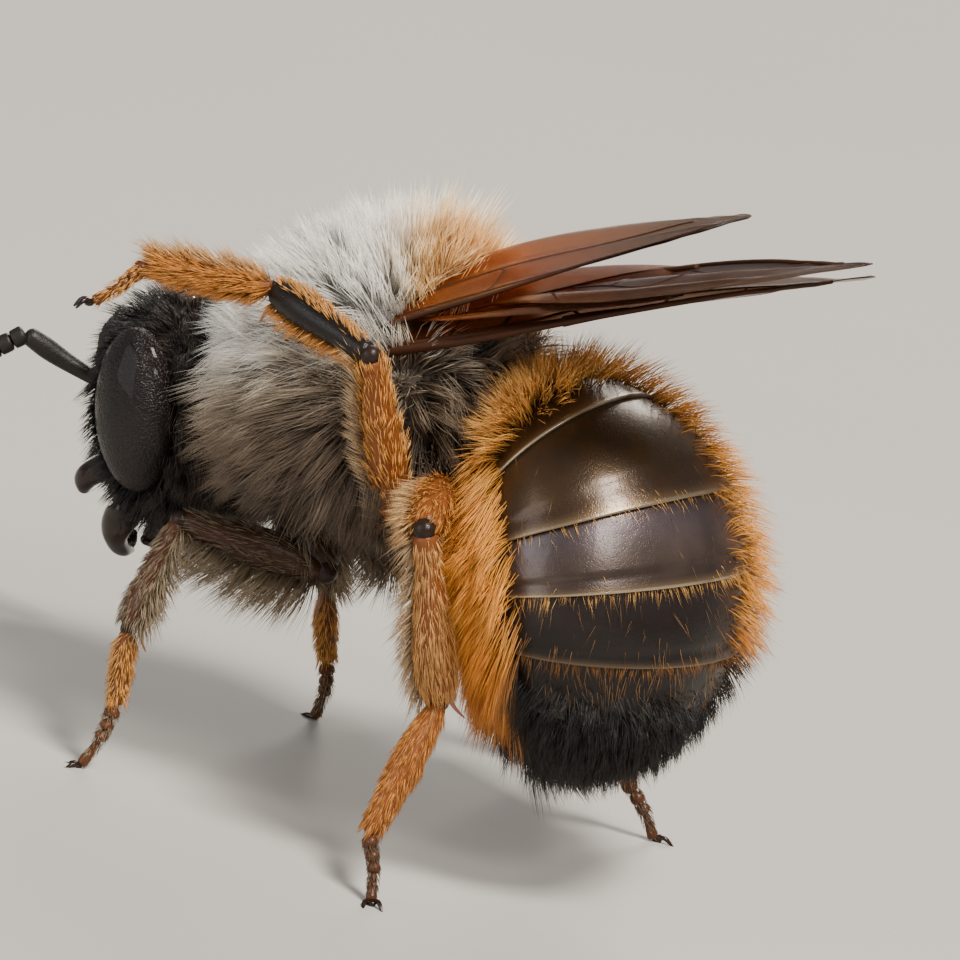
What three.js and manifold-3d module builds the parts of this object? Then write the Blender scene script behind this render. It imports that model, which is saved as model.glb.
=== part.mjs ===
// Red mason bee, female: a still, life-size model that stands on five of its six feet.
// Millimetres. Every part is laid out in the body's own frame, and the whole is then
// tipped nose down onto the floor: x is the bee's left, y its rear, z its back.
// The solids reach out to the tips of the coat. Small parts keep their full shape and sit
// in sockets cut into the large ones, with a thin gap between neighbours.
import * as THREE from 'three';
import { mergeVertices } from 'three/addons/utils/BufferGeometryUtils.js';
import Module from 'manifold-3d';

const wasm = await Module();
wasm.setup();

// ---------- driving dimensions ----------
const PITCH = THREE.MathUtils.degToRad(15); // the body leans this far nose down
const ROOT_HEIGHT = 6.376; // wing roots above the floor
const ROOT_AHEAD = 0.96; // wing roots ahead of the middle of the outline
const ROOT_ASIDE = 0.25; // wing roots to the left of the middle of the outline
const GAP = 0.05; // clearance between neighbouring solids

const THORAX = { half: [1.95, 1.8, 1.75], middle: [0, -0.2, -0.85], coat: 0.6 };
const HEAD = { half: [1.6, 1.12, 1.5], middle: [0, -3.2, -1.35], coat: 0.32 };
const EYE = { half: [0.5, 0.66, 1.15], middle: [1.46, -3.15, -1.2] };
const OCELLUS = { radius: 0.2, spread: 0.42, back: -3.0, ahead: 0.35, up: 0.36 };
const FEELER_RADIUS = 0.26;
const WING_THICK = 0.5; // of the solids only: the real membrane is far thinner
const TEGULA = { half: [0.36, 0.5, 0.3], middle: [1.75, -0.2, 0.1] };
const BELLY = { halfWidth: 2.12, halfDepth: 1.65, fullness: 0.52 };

// Point in the body's frame, from its distances behind, left of and above the wing roots.
const at = (back, left, up) => new THREE.Vector3(left, back, up);
const mirrored = (point, side) => new THREE.Vector3(point.x * side, point.y, point.z);
const SIDES = [['left', 1], ['right', -1]];

// Height of the floor in the body's frame, under a point this far back.
const floorUnder = (back) => -(ROOT_HEIGHT + back * Math.sin(PITCH)) / Math.cos(PITCH);
const onFloor = (back, left) => at(back, left, floorUnder(back));

// ---------- solids, joins and cuts ----------
function solidOf(geometry) {
  const bare = geometry.clone();
  bare.deleteAttribute('normal');
  bare.deleteAttribute('uv');
  const merged = mergeVertices(bare, 1e-5);
  return new wasm.Manifold(new wasm.Mesh({
    numProp: 3,
    vertProperties: new Float32Array(merged.attributes.position.array),
    triVerts: new Uint32Array(merged.index.array),
  }));
}

// The solid less each of the cutters, keeping only its largest piece.
function carve(solid, ...cutters) {
  const left = cutters.reduce((rest, cutter) => rest.subtract(cutter), solid);
  const pieces = left.decompose();
  return pieces.reduce((best, piece) => (piece.volume() > best.volume() ? piece : best));
}

function geometryOf(solid) {
  const mesh = solid.getMesh();
  const geometry = new THREE.BufferGeometry();
  geometry.setAttribute('position', new THREE.BufferAttribute(mesh.vertProperties, 3));
  geometry.setIndex(new THREE.BufferAttribute(mesh.triVerts, 1));
  geometry.computeVertexNormals();
  return geometry;
}

// Moves every vertex of a geometry to where the function sends it.
function reshape(geometry, move) {
  const position = geometry.attributes.position;
  const point = new THREE.Vector3();
  for (let i = 0; i < position.count; i += 1) {
    point.fromBufferAttribute(position, i);
    move(point);
    position.setXYZ(i, point.x, point.y, point.z);
  }
  return geometry;
}

// Turns a geometry's faces to the other side, after a mirroring move.
function flip(geometry) {
  const index = geometry.index;
  for (let i = 0; i < index.count; i += 3) {
    const first = index.getX(i);
    index.setX(i, index.getX(i + 2));
    index.setX(i + 2, first);
  }
}

// Value at t (0 to 1) of a list of evenly spaced values.
function blend(values, t) {
  const place = Math.min(Math.max(t, 0), 1) * (values.length - 1);
  const i = Math.min(Math.floor(place), values.length - 2);
  return THREE.MathUtils.lerp(values[i], values[i + 1], place - i);
}

// A limb: a round tube along a smooth curve, with its radii evenly spaced from end to end.
function limb(points, radii, { sides = 8, rows = radii.length - 1, extra = 0 } = {}) {
  const curve = new THREE.CatmullRomCurve3(points, false, 'centripetal');
  const frames = curve.computeFrenetFrames(rows, false);
  const move = (p) => {
    const t = 0.5 - p.y;
    const row = Math.round(t * rows);
    const radius = blend(radii, t) + extra;
    const centre = curve.getPointAt(t).addScaledVector(frames.tangents[row], (2 * t - 1) * extra);
    centre.addScaledVector(frames.normals[row], p.x * radius);
    p.copy(centre.addScaledVector(frames.binormals[row], p.z * radius));
  };
  return solidOf(reshape(new THREE.CylinderGeometry(1, 1, 1, sides, rows), move));
}

// An egg: an ellipsoid with its poles fore and aft, made fuller by a power below 1.
function egg({ half, middle, extra = 0, sides = 24, rings = 14, full = 1, shape = () => {} }) {
  const move = (p) => {
    p.x = Math.sign(p.x) * Math.abs(p.x) ** full;
    p.y = Math.sign(p.y) * Math.abs(p.y) ** full;
    p.z = Math.sign(p.z) * Math.abs(p.z) ** full;
    shape(p);
    p.x = p.x * (half[0] + extra) + middle[0];
    p.y = p.y * (half[1] + extra) + middle[1];
    p.z = p.z * (half[2] + extra) + middle[2];
  };
  return solidOf(reshape(new THREE.SphereGeometry(1, sides, rings), move));
}

// ---------- finishes ----------
const finish = (color, roughness, metalness = 0) => ({ color, roughness, metalness });
const FINISH = {
  paleFur: finish(0xb9a88c, 0.9),
  darkFur: finish(0x1c1815, 0.85),
  bronzeShell: finish(0x3a2c20, 0.3, 0.2),
  blackShell: finish(0x14110f, 0.3, 0.1),
  eye: finish(0x0f0d0c, 0.2),
  amberWing: finish(0x7d3a12, 0.3),
  legShell: finish(0x2a1a12, 0.45),
  legFur: finish(0xb86a25, 0.8),
};

const bee = new THREE.Group();
bee.rotation.x = PITCH;
bee.position.set(ROOT_ASIDE, -ROOT_AHEAD, ROOT_HEIGHT);

function add(name, solid, look) {
  const mesh = new THREE.Mesh(geometryOf(solid), new THREE.MeshStandardMaterial(look));
  mesh.name = name;
  bee.add(mesh);
}

// ---------- legs ----------
// Each leg shows these joints: trochanter, knee, ankle, end of the long first tarsal joint,
// and the foot, which is on the floor unless the leg is raised.
const LEG_JOINTS = {
  front: [at(-0.55, 0.9, -3.2), at(-2.15, 1.9, -2.54), at(-2.68, 2.32, -3.95),
    at(-2.78, 2.5, -4.95), onFloor(-3.15, 2.75)],
  middle: [at(0.7, 1.3, -2.65), at(0.55, 3.0, -2.0), at(0.2, 3.85, -3.85),
    at(-0.25, 4.2, -5.3), onFloor(-0.6, 4.45)],
  raised: [at(0.85, 1.35, -2.45), at(1.27, 2.6, -0.1), at(-0.42, 2.3, 0.63),
    at(-1.62, 3.44, 0.99), at(-2.15, 3.9, 0.5)],
  hind: [at(1.5, 1.2, -1.9), at(2.19, 2.75, -2.28), at(2.08, 2.23, -4.57),
    at(1.54, 3.06, -6.23), onFloor(1.78, 3.38)],
};
// Radii from end to end of each joint, out to the tips of its hairs.
const LEG_RADII = {
  front: { femur: [0.3, 0.46, 0.36], tibia: [0.3, 0.36, 0.32], basitarsus: [0.27, 0.27] },
  middle: { femur: [0.3, 0.4, 0.32], tibia: [0.28, 0.38, 0.34], basitarsus: [0.34, 0.3] },
  raised: { femur: [0.3, 0.4, 0.32], tibia: [0.26, 0.4, 0.32], basitarsus: [0.42, 0.34] },
  hind: { femur: [0.32, 0.44, 0.36], tibia: [0.32, 0.5, 0.44], basitarsus: [0.34, 0.28] },
};
const LEG_PARTS = ['femur', 'tibia', 'basitarsus', 'foot'];
const FOOT = { radii: [0.26, 0.25, 0.28], sink: 0.2, arch: 0.12 };

// Everything under the floor, as a slab in the body's frame.
const underFloor = (() => {
  const [wide, deep] = [30, 10];
  const slab = new THREE.BoxGeometry(wide, wide, deep);
  slab.translate(0, ROOT_AHEAD, -ROOT_HEIGHT - deep / 2);
  slab.rotateX(-PITCH);
  return solidOf(slab);
})();

// The slim end joints of a leg, with the claws as a blunt toe that runs down to the floor,
// where the floor trims it flat.
function foot(start, end, extra) {
  const toe = end.clone();
  toe.z -= FOOT.sink;
  const middle = start.clone().lerp(toe, 0.55);
  middle.y += FOOT.arch;
  return limb([start, middle, toe], FOOT.radii, { extra });
}

function legSolids(joints, radii, extra = 0) {
  const solids = { foot: foot(joints[3], joints[4], extra) };
  LEG_PARTS.slice(0, -1).forEach((part, i) => {
    solids[part] = limb([joints[i], joints[i + 1]], radii[part], { extra });
  });
  return solids;
}

const legCutters = [];
for (const end of ['front', 'middle', 'hind']) {
  for (const [sideName, side] of SIDES) {
    const raised = end === 'middle' && side === 1;
    const pose = raised ? 'raised' : end;
    const joints = LEG_JOINTS[pose].map((joint) => mirrored(joint, side));
    const plain = legSolids(joints, LEG_RADII[pose]);
    const grown = legSolids(joints, LEG_RADII[pose], GAP);
    LEG_PARTS.forEach((part, i) => {
      const isFoot = part === 'foot';
      const cutters = isFoot ? [underFloor] : [grown[LEG_PARTS[i + 1]]];
      add(`leg_${end}_${sideName}_${part}`, carve(plain[part], ...cutters),
        isFoot ? FINISH.legShell : FINISH.legFur);
    });
    legCutters.push(grown.femur, grown.tibia);
  }
}

// ---------- wings ----------
// A wing is a thin twisted plate. Its line runs from root to tip with a slight arch, and
// its chord rolls up towards the body's middle by angles evenly spaced along that line.
// `layer` is where the plate lies above and below the membrane. The right pair is folded
// over the left fore wing and under the left hind wing.
const WING_STEPS = 10;
const LAYER_UNDER = [-WING_THICK, 0];
const LAYER_OVER = [0, WING_THICK];
const WING_LINES = {
  fore_left: { root: at(0.1, 1.65, -0.3), tip: at(7.79, 1.0, 1.21),
    roll: [24, 26, 12, 2, -4], arch: 0.05, layer: LAYER_UNDER },
  fore_right: { root: at(0.1, -1.65, -0.2), tip: at(7.62, 0.6, 1.17),
    roll: [6, 0, -3, -3], arch: 0.22, layer: LAYER_OVER },
  hind_left: { root: at(0.55, 1.4, 0.0), tip: at(5.87, 0.8, 1.72),
    roll: [30, 18, 9], arch: 0.05, layer: LAYER_OVER },
};
// Outline of a wing: how far its front edge bows out, and its chord, which swells from the
// root chord to `swell` more and closes to the tip chord. `peak` moves the widest place out.
const FORE = { bow: 0.22, swell: 2.45, peak: 1.35, fullness: 0.8, rootChord: 0.55, tipChord: 0.12 };
const HIND = { bow: 0.22, swell: 1.66, peak: 0.95, fullness: 0.75, rootChord: 0.5, tipChord: 0.12 };
const bowAt = ({ bow }, t) => bow * Math.sin(Math.PI * t);
const chordAt = ({ swell, peak, fullness, rootChord, tipChord }, t) => tipChord
  + swell * Math.sin(Math.PI * t ** peak) ** fullness + (rootChord - tipChord) * (1 - t) ** 3;

// The right hind wing is tucked under its fore wing, so the two share one surface in the
// solids: the fore wing keeps its front part, out to where the hind wing ends.
const FOLD = { chord: 1.4, start: 0.1, end: 0.72, widening: 4, hindShare: 0.7 };
const foldChord = (t) => Math.min(chordAt(FORE, t), FOLD.chord + FOLD.widening * Math.max(t - FOLD.end, 0));
const tuckedChord = (t) => HIND.tipChord + FOLD.hindShare * chordAt(HIND, t / FOLD.end);

const wingPlan = (shape) => ({
  from: 0,
  to: 1,
  lead: (t) => -bowAt(shape, t),
  trail: (t) => chordAt(shape, t) - bowAt(shape, t),
});
const WINGS = [
  { name: 'fore_left', line: 'fore_left', side: 1, ...wingPlan(FORE) },
  { name: 'hind_left', line: 'hind_left', side: 1, ...wingPlan(HIND) },
  { name: 'fore_right', line: 'fore_right', side: -1, ...wingPlan(FORE),
    trail: (t) => foldChord(t) - bowAt(FORE, t) },
  { name: 'hind_right', line: 'fore_right', side: -1, from: FOLD.start, to: FOLD.end,
    lead: (t) => FOLD.chord + GAP - bowAt(FORE, t),
    trail: (t) => FOLD.chord + GAP - bowAt(FORE, t) + tuckedChord(t) },
];

function wing({ line, side, from, to, lead, trail }, extra = 0) {
  const { root, tip, roll, arch, layer } = WING_LINES[line];
  const along = tip.clone().sub(root);
  const length = along.length();
  along.normalize();
  const inward = new THREE.Vector3(-side, 0, 0).addScaledVector(along, side * along.x).normalize();
  const lift = new THREE.Vector3().crossVectors(along, inward).multiplyScalar(side);
  const move = (p) => {
    const t = THREE.MathUtils.lerp(from, to, p.x + 0.5);
    const angle = THREE.MathUtils.degToRad(blend(roll, t));
    const chordWay = inward.clone().multiplyScalar(Math.cos(angle)).addScaledVector(lift, Math.sin(angle));
    const normal = new THREE.Vector3().crossVectors(along, chordWay).multiplyScalar(side);
    const chord = THREE.MathUtils.lerp(lead(t) - extra, trail(t) + extra, p.y + 0.5);
    const height = THREE.MathUtils.lerp(layer[0] - extra, layer[1] + extra, p.z + 0.5);
    const reach = t * length + 2 * p.x * extra;
    p.copy(root).addScaledVector(along, reach);
    p.addScaledVector(lift, arch * Math.sin(Math.PI * t));
    p.addScaledVector(chordWay, chord).addScaledVector(normal, height);
  };
  const plate = reshape(new THREE.BoxGeometry(1, 1, 1, WING_STEPS, 2, 1), move);
  if (side < 0) flip(plate);
  return solidOf(plate);
}

const wingCutters = [];
for (const spec of WINGS) {
  add(`wing_${spec.name}`, carve(wing(spec), ...wingCutters), FINISH.amberWing);
  wingCutters.push(wing(spec, GAP));
}

// ---------- abdomen ----------
// The abdomen curls down and under along this line, from the waist to the tip. Its rings
// are egg-shaped in outline, and the coat is thickest on the front rings.
const BELLY_LINE = [at(1.9, 0, -1.1), at(2.55, 0, -1.5), at(3.05, 0, -2.2), at(3.25, 0, -3.1),
  at(3.2, 0, -4.0), at(3.0, 0, -4.8), at(2.75, 0, -5.55)];
const BELLY_COAT = [0.3, 0.5, 0.5, 0.45, 0.4, 0.4, 0.4];
const RING_ENDS = [0, 1.15, 2.25, 3.05, 3.9, 4.8, 6]; // where each ring ends, in line steps
const RING_SIDES = 20;
const RING_ROWS = 3;
const bellyCurve = new THREE.CatmullRomCurve3(BELLY_LINE, false, 'centripetal');
const bellyProfile = (t) => Math.sin(Math.PI * Math.min(Math.max(t, 0), 1)) ** BELLY.fullness;

function ring(from, to, extra = 0) {
  const move = (p) => {
    const t = THREE.MathUtils.lerp(from, to, 0.5 - p.y) / (BELLY_LINE.length - 1);
    const tangent = bellyCurve.getTangent(t);
    const upward = new THREE.Vector3(0, -tangent.z, tangent.y);
    const coat = blend(BELLY_COAT, t) + extra;
    const across = p.x * (BELLY.halfWidth * bellyProfile(t) + coat);
    const above = -p.z * (BELLY.halfDepth * bellyProfile(t) + coat);
    const reach = -2 * p.y * extra;
    p.copy(bellyCurve.getPoint(t)).addScaledVector(tangent, reach).addScaledVector(upward, above);
    p.x += across;
  };
  return solidOf(reshape(new THREE.CylinderGeometry(1, 1, 1, RING_SIDES, RING_ROWS), move));
}

const bellyRing = (i, extra = 0) => ring(RING_ENDS[i] + GAP / 2, RING_ENDS[i + 1] - GAP / 2, extra);
RING_ENDS.slice(1).forEach((_, i) => {
  const solid = carve(bellyRing(i), ...legCutters);
  add(`abdomen_${i + 1}`, solid, i < 3 ? FINISH.bronzeShell : FINISH.blackShell);
});

// ---------- head ----------
// The face is flatter than the crown, and the cheeks narrow towards the mouth.
function headShape(p) {
  if (p.y < 0) p.y *= 0.9 + 0.1 * p.z;
  p.x *= p.z < 0 ? 1 + 0.2 * p.z : 1 - 0.06 * p.z;
}
const headEgg = (extra = 0) => egg({
  ...HEAD, extra: HEAD.coat + extra, full: 0.86, sides: 20, rings: 12, shape: headShape,
});
const pairedEgg = ({ half, middle }, side, extra, sides, rings) => egg({
  half, middle: [middle[0] * side, middle[1], middle[2]], extra, sides, rings,
});
const eye = (side, extra = 0) => pairedEgg(EYE, side, extra, 14, 9);
const tegula = (side, extra = 0) => pairedEgg(TEGULA, side, extra, 10, 7);
const ocellus = ([back, left], extra = 0) => egg({
  half: [OCELLUS.radius, OCELLUS.radius, OCELLUS.radius],
  middle: [left, back, OCELLUS.up],
  extra,
  sides: 8,
  rings: 5,
});
const OCELLI = {
  middle: [OCELLUS.back - OCELLUS.ahead, 0],
  left: [OCELLUS.back, OCELLUS.spread],
  right: [OCELLUS.back, -OCELLUS.spread],
};

// Feelers have a long first joint from the middle of the face, then an elbow and a lash.
// Two blunt horns stand on the lower face, above a pair of curved biting jaws.
const FACE_LIMBS = {
  antenna_flagellum: { rows: 8, points: [at(-5.1, 1.15, -0.35), at(-5.6, 1.5, -0.75),
    at(-5.85, 1.8, -1.7), at(-5.75, 2.0, -2.75)],
  radii: [FEELER_RADIUS * 0.95, FEELER_RADIUS, FEELER_RADIUS] },
  antenna_scape: { rows: 2, points: [at(-4.1, 0.45, -1.15), at(-4.7, 0.75, -0.75), at(-5.1, 1.15, -0.35)],
    radii: [FEELER_RADIUS * 0.9, FEELER_RADIUS] },
  mandible: { rows: 4, points: [at(-3.55, 0.92, -2.5), at(-3.88, 0.85, -2.88), at(-4.07, 0.5, -3.15),
    at(-4.1, 0.16, -3.23)], radii: [0.36, 0.34, 0.28, 0.14] },
  horn: { rows: 2, points: [at(-4.05, 0.66, -2.1), at(-4.45, 0.68, -2.25), at(-4.62, 0.52, -2.48)],
    radii: [0.28, 0.26, 0.18] },
};
const faceLimb = (name, side, extra = 0) => {
  const { points, radii, rows } = FACE_LIMBS[name];
  return limb(points.map((point) => mirrored(point, side)), radii, { rows, extra });
};

const headCutters = Object.values(OCELLI).map((place) => ocellus(place, GAP));
for (const [name, place] of Object.entries(OCELLI)) add(`ocellus_${name}`, ocellus(place), FINISH.eye);
for (const [sideName, side] of SIDES) {
  const taken = [eye(side, GAP)];
  add(`eye_${sideName}`, eye(side), FINISH.eye);
  for (const name of Object.keys(FACE_LIMBS)) {
    const [limbName, joint] = name.split('_');
    const label = joint ? `${limbName}_${sideName}_${joint}` : `${limbName}_${sideName}`;
    add(label, carve(faceLimb(name, side), ...taken), FINISH.blackShell);
    taken.push(faceLimb(name, side, GAP));
  }
  headCutters.push(...taken);
}
add('head', carve(headEgg(), ...headCutters), FINISH.darkFur);

// ---------- thorax ----------
// The thorax is a furry ball, and small scales cap the wing roots.
for (const [sideName, side] of SIDES) {
  add(`tegula_${sideName}`, carve(tegula(side), ...wingCutters, ...legCutters), FINISH.legShell);
}
const thoraxEgg = egg({ ...THORAX, extra: THORAX.coat, full: 0.94, sides: 22, rings: 14 });
const bellyFront = [0, 1].map((i) => bellyRing(i, GAP));
const tegulae = SIDES.map(([, side]) => tegula(side, GAP));
add('thorax', carve(thoraxEgg, headEgg(GAP), ...bellyFront, ...tegulae, ...wingCutters, ...legCutters),
  FINISH.paleFur);

export default bee;
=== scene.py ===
from math import cos, pi, radians, sin

import bpy
import numpy as np
from mathutils import Matrix, Vector
from mathutils.kdtree import KDTree


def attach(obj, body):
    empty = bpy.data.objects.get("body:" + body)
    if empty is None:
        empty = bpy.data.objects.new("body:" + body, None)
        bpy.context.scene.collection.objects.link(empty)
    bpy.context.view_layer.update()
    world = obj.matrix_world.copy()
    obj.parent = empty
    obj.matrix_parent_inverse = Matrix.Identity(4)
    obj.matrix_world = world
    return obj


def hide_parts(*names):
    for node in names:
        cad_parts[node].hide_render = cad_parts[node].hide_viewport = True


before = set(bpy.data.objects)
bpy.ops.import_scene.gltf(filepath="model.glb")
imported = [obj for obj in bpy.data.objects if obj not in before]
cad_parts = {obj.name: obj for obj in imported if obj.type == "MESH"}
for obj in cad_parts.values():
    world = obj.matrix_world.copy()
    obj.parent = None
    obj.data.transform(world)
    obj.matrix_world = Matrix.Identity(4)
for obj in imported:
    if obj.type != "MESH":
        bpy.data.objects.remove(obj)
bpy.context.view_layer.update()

# ---------- Trunk ----------
# The thorax is a hard black ball that holds the flight muscles, with a narrow waist behind it and a
# short neck in front. It is chitin, grown as one shell with the head and the legs.
MM = 0.001
# Shapes are laid out in the body's own frame, in millimetres: left, back and up from the middle
# between the wing roots. The body leans nose down by the pitch over the floor.
PITCH = radians(15)
WING_ROOTS = np.array([0.25, -0.96, 6.376])  # where that middle stands, from the floor's origin
LEAN = np.array([[1, 0, 0], [0, cos(PITCH), -sin(PITCH)], [0, sin(PITCH), cos(PITCH)]])


def at(back, left, up):
    return np.array([left, back, up], float)


def on_stage(points):
    """From the body's own frame to metres over the floor."""
    return (points @ LEAN.T + WING_ROOTS) * MM


def unit(vectors):
    return vectors / np.maximum(np.linalg.norm(vectors, axis=-1, keepdims=True), 1e-9)


def smooth(low, high, value):
    share = np.clip((value - low) / (high - low), 0, 1)
    return share * share * (3 - 2 * share)


def hump(points, middle, reach):
    """A soft bump of height 1 at the middle, fading out at about the reach along each axis."""
    return np.exp(-(((points - middle) / reach) ** 2).sum(-1) * 2)


def egg(half, middle, full=1.0, sculpt=None):
    """Surface of an egg with its poles fore and aft, from its half sizes across, along and up. It is
    squarer where full is below 1. A surface turns two shares, how far round from the top and how far
    along from the front, into points."""

    def surface(around, along):
        turn, slope = 2 * pi * around, pi * along
        ball = np.stack([np.sin(slope) * np.sin(turn), -np.cos(slope), np.sin(slope) * np.cos(turn)], -1)
        ball = np.sign(ball) * np.abs(ball) ** full
        points = ball * np.array(half) + np.array(middle)
        return points if sculpt is None else sculpt(points, unit(ball))

    return surface


def spline(knots, place):
    """Value at each place, from 0 to the number of knots less one, on a smooth curve through them."""
    knots = np.array(knots, float)
    if knots.ndim == 1:
        return spline(knots[:, None], place)[..., 0]
    ends = np.vstack([2 * knots[0] - knots[1], knots, 2 * knots[-1] - knots[-2]])
    step = np.clip(np.floor(place).astype(int), 0, len(knots) - 2)
    w = (place - step)[..., None]
    a, b, c, d = (ends[step + i] for i in range(4))
    return b + 0.5 * w * (c - a + w * (2 * a - 5 * b + 4 * c - d + w * (3 * (b - c) + d - a)))


def limb(joints, radii, flat=1.0, side=(0, 0, 1), cap=0.8):
    """Surface of one joint of a limb: a tube with rounded ends along a smooth curve. It is `flat`
    times as thick towards `side` as across it, and a cap is `cap` times as long as its radius."""
    joints = np.array(joints, float)
    length = np.linalg.norm(np.diff(joints, axis=0), axis=1).sum()
    caps = [cap * max(radii[0], 0.02) / length, cap * max(radii[-1], 0.02) / length]

    def surface(around, along):
        place = along * (len(joints) - 1)
        tangent = unit(spline(joints, place + 0.01) - spline(joints, place - 0.01))
        out = unit(np.array(side) - tangent * (tangent @ np.array(side, float))[..., None])
        across = np.cross(tangent, out)
        radius = np.maximum(spline(radii, along * (len(radii) - 1)), 0.01)
        for gap, end in zip((along, 1 - along), caps):
            radius = radius * np.sqrt(np.clip(1 - (1 - np.minimum(gap / end, 1)) ** 2, 0, 1))
        turn = (2 * pi * around)[..., None]
        rim = out * np.cos(turn) * flat + across * np.sin(turn)
        return spline(joints, place) + rim * radius[..., None]

    return surface


def loft(rings, start, end):
    """Closed mesh through rings of points, drawn in to one point at each end."""
    rows, columns = rings.shape[:2]
    points = np.concatenate([[start], rings.reshape(-1, 3), [end]])
    column = np.arange(columns)
    after = (column + 1) % columns
    row = 1 + np.arange(rows - 1)[:, None] * columns
    a, b, c, d = row + column, row + after, row + columns + after, row + columns + column
    last = 1 + (rows - 1) * columns
    faces = [np.stack([a, b, c], -1), np.stack([a, c, d], -1)]
    faces.append(np.stack([0 * column, 1 + after, 1 + column], -1))
    faces.append(np.stack([last + column, last + after, 0 * column + len(points) - 1], -1))
    return points, np.concatenate([f.reshape(-1, 3) for f in faces])


def shell(surface, rows, columns):
    """Closed mesh of a surface, with its rows closer together at the ends."""
    share = np.linspace(0, 1, rows + 1)
    along = share - 0.8 * np.sin(2 * pi * share) / (2 * pi)
    around = np.arange(columns) / columns
    rings = surface(*np.meshgrid(around, along[1:-1]))
    start, end = surface(np.zeros(2), np.array([0.0, 1.0]))
    return loft(rings, start, end)


def joined(parts):
    """One mesh of several, each (points, faces), with the part number of every point."""
    points = np.concatenate([p for p, _ in parts])
    starts = np.cumsum([0] + [len(p) for p, _ in parts[:-1]])
    faces = np.concatenate([f + start for (_, f), start in zip(parts, starts)])
    number = np.repeat(np.arange(len(parts)), [len(p) for p, _ in parts])
    return points, faces, number


def piece(name, points, faces, material, slot, replaces=(), **marks):
    """A mesh object on the still body. Marks are values at the points that its material reads."""
    mesh = bpy.data.meshes.new(name)
    mesh.vertices.add(len(points))
    placed = on_stage(points)
    placed[:, 2] = np.maximum(placed[:, 2], 0)  # nothing dips under the floor
    mesh.vertices.foreach_set("co", placed.astype(np.float32).ravel())
    mesh.loops.add(faces.size)
    mesh.loops.foreach_set("vertex_index", faces.astype(np.int32).ravel())
    mesh.polygons.add(len(faces))
    mesh.polygons.foreach_set("loop_start", np.arange(0, faces.size, 3, dtype=np.int32))
    mesh.update(calc_edges=True)
    mesh.shade_smooth()
    for mark, values in marks.items():
        held = mesh.attributes.new(mark, "FLOAT", "POINT")
        held.data.foreach_set("value", np.asarray(values, np.float32).ravel())
    made = bpy.data.objects.new(name, mesh)
    bpy.context.scene.collection.objects.link(made)
    made.data.materials.append(material)
    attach(made, "root")
    if replaces:
        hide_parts(*replaces)
    return made


SIDES = {"left": 1, "right": -1}
MIRROR = np.array([-1.0, 1.0, 1.0])


def mirrored(joints, side):
    """Points of the left side, or their mirror image for the right side."""
    return [joint * MIRROR if side < 0 else joint for joint in np.array(joints, float)]


def groove(distance, depth, width):
    """Depth of a groove at a distance from its line."""
    return depth * np.exp(-((distance / width) ** 2))


SCUTELLUM, SCUTELLUM_REACH = at(1.1, 0, 0.62), (1.1, 0.55, 0.5)  # the swelling at the rear of the back
SHIELD_END = 0.78  # the shield of the back ends here, in front of the scutellum
FLANK_PLATE_TOP = -0.55  # the plates of the flanks begin this far up


def trunk_sculpt(points, normal):
    left, back, up = points[..., 0], points[..., 1], points[..., 2]
    swell = 0.1 * hump(points, SCUTELLUM, SCUTELLUM_REACH)
    shield_seam = groove(back - SHIELD_END - 0.16 * left**2, 0.07, 0.07) * smooth(0.1, 0.6, up)
    middle_line = groove(left, 0.02, 0.05) * smooth(0.3, 0.8, up)
    plate_seam = groove(up - FLANK_PLATE_TOP - 0.3 * back, 0.05, 0.06)
    return points + normal * (swell - shield_seam - middle_line - plate_seam)[..., None]


TRUNK_HALF, TRUNK_MIDDLE = (1.95, 1.8, 1.75), at(-0.2, 0, -0.85)
WAIST_LINE, WAIST_RADII = [at(1.0, 0, -1.1), at(1.6, 0, -1.12), at(2.3, 0, -1.35)], [0.7, 0.42, 0.5, 0.8]
NECK_LINE, NECK_RADII = [at(-1.6, 0, -0.95), at(-2.5, 0, -1.15)], [0.6, 0.45, 0.5]
trunk = egg(TRUNK_HALF, TRUNK_MIDDLE, full=0.94, sculpt=trunk_sculpt)
waist, neck = limb(WAIST_LINE, WAIST_RADII), limb(NECK_LINE, NECK_RADII)
trunk_parts = [shell(trunk, 72, 96), shell(waist, 20, 32), shell(neck, 12, 32)]

# ---------- Legs ----------
# Each leg is a chain of hard tubes of chitin on ball joints: hip, thigh, shin, a long first foot
# joint and four short ones. Five feet stand on the floor, and the left middle leg is raised.
STANDING_SOLE = 0.03  # the middle of a foot's last joint is this far over the floor


def on_floor(back, left, above=STANDING_SOLE):
    return at(back, left, -(WING_ROOTS[2] - above + back * sin(PITCH)) / cos(PITCH))


LEG_PAIRS = ("front", "middle", "hind")
LEG_SEGMENTS = ("hip", "femur", "tibia", "basitarsus")
# For each leg: its pair, the name and the sign of its side, and its pose.
LEGS = [
    (pair, side_name, side, "raised" if pair == "middle" and side > 0 else pair)
    for pair in LEG_PAIRS
    for side_name, side in SIDES.items()
]
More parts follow.
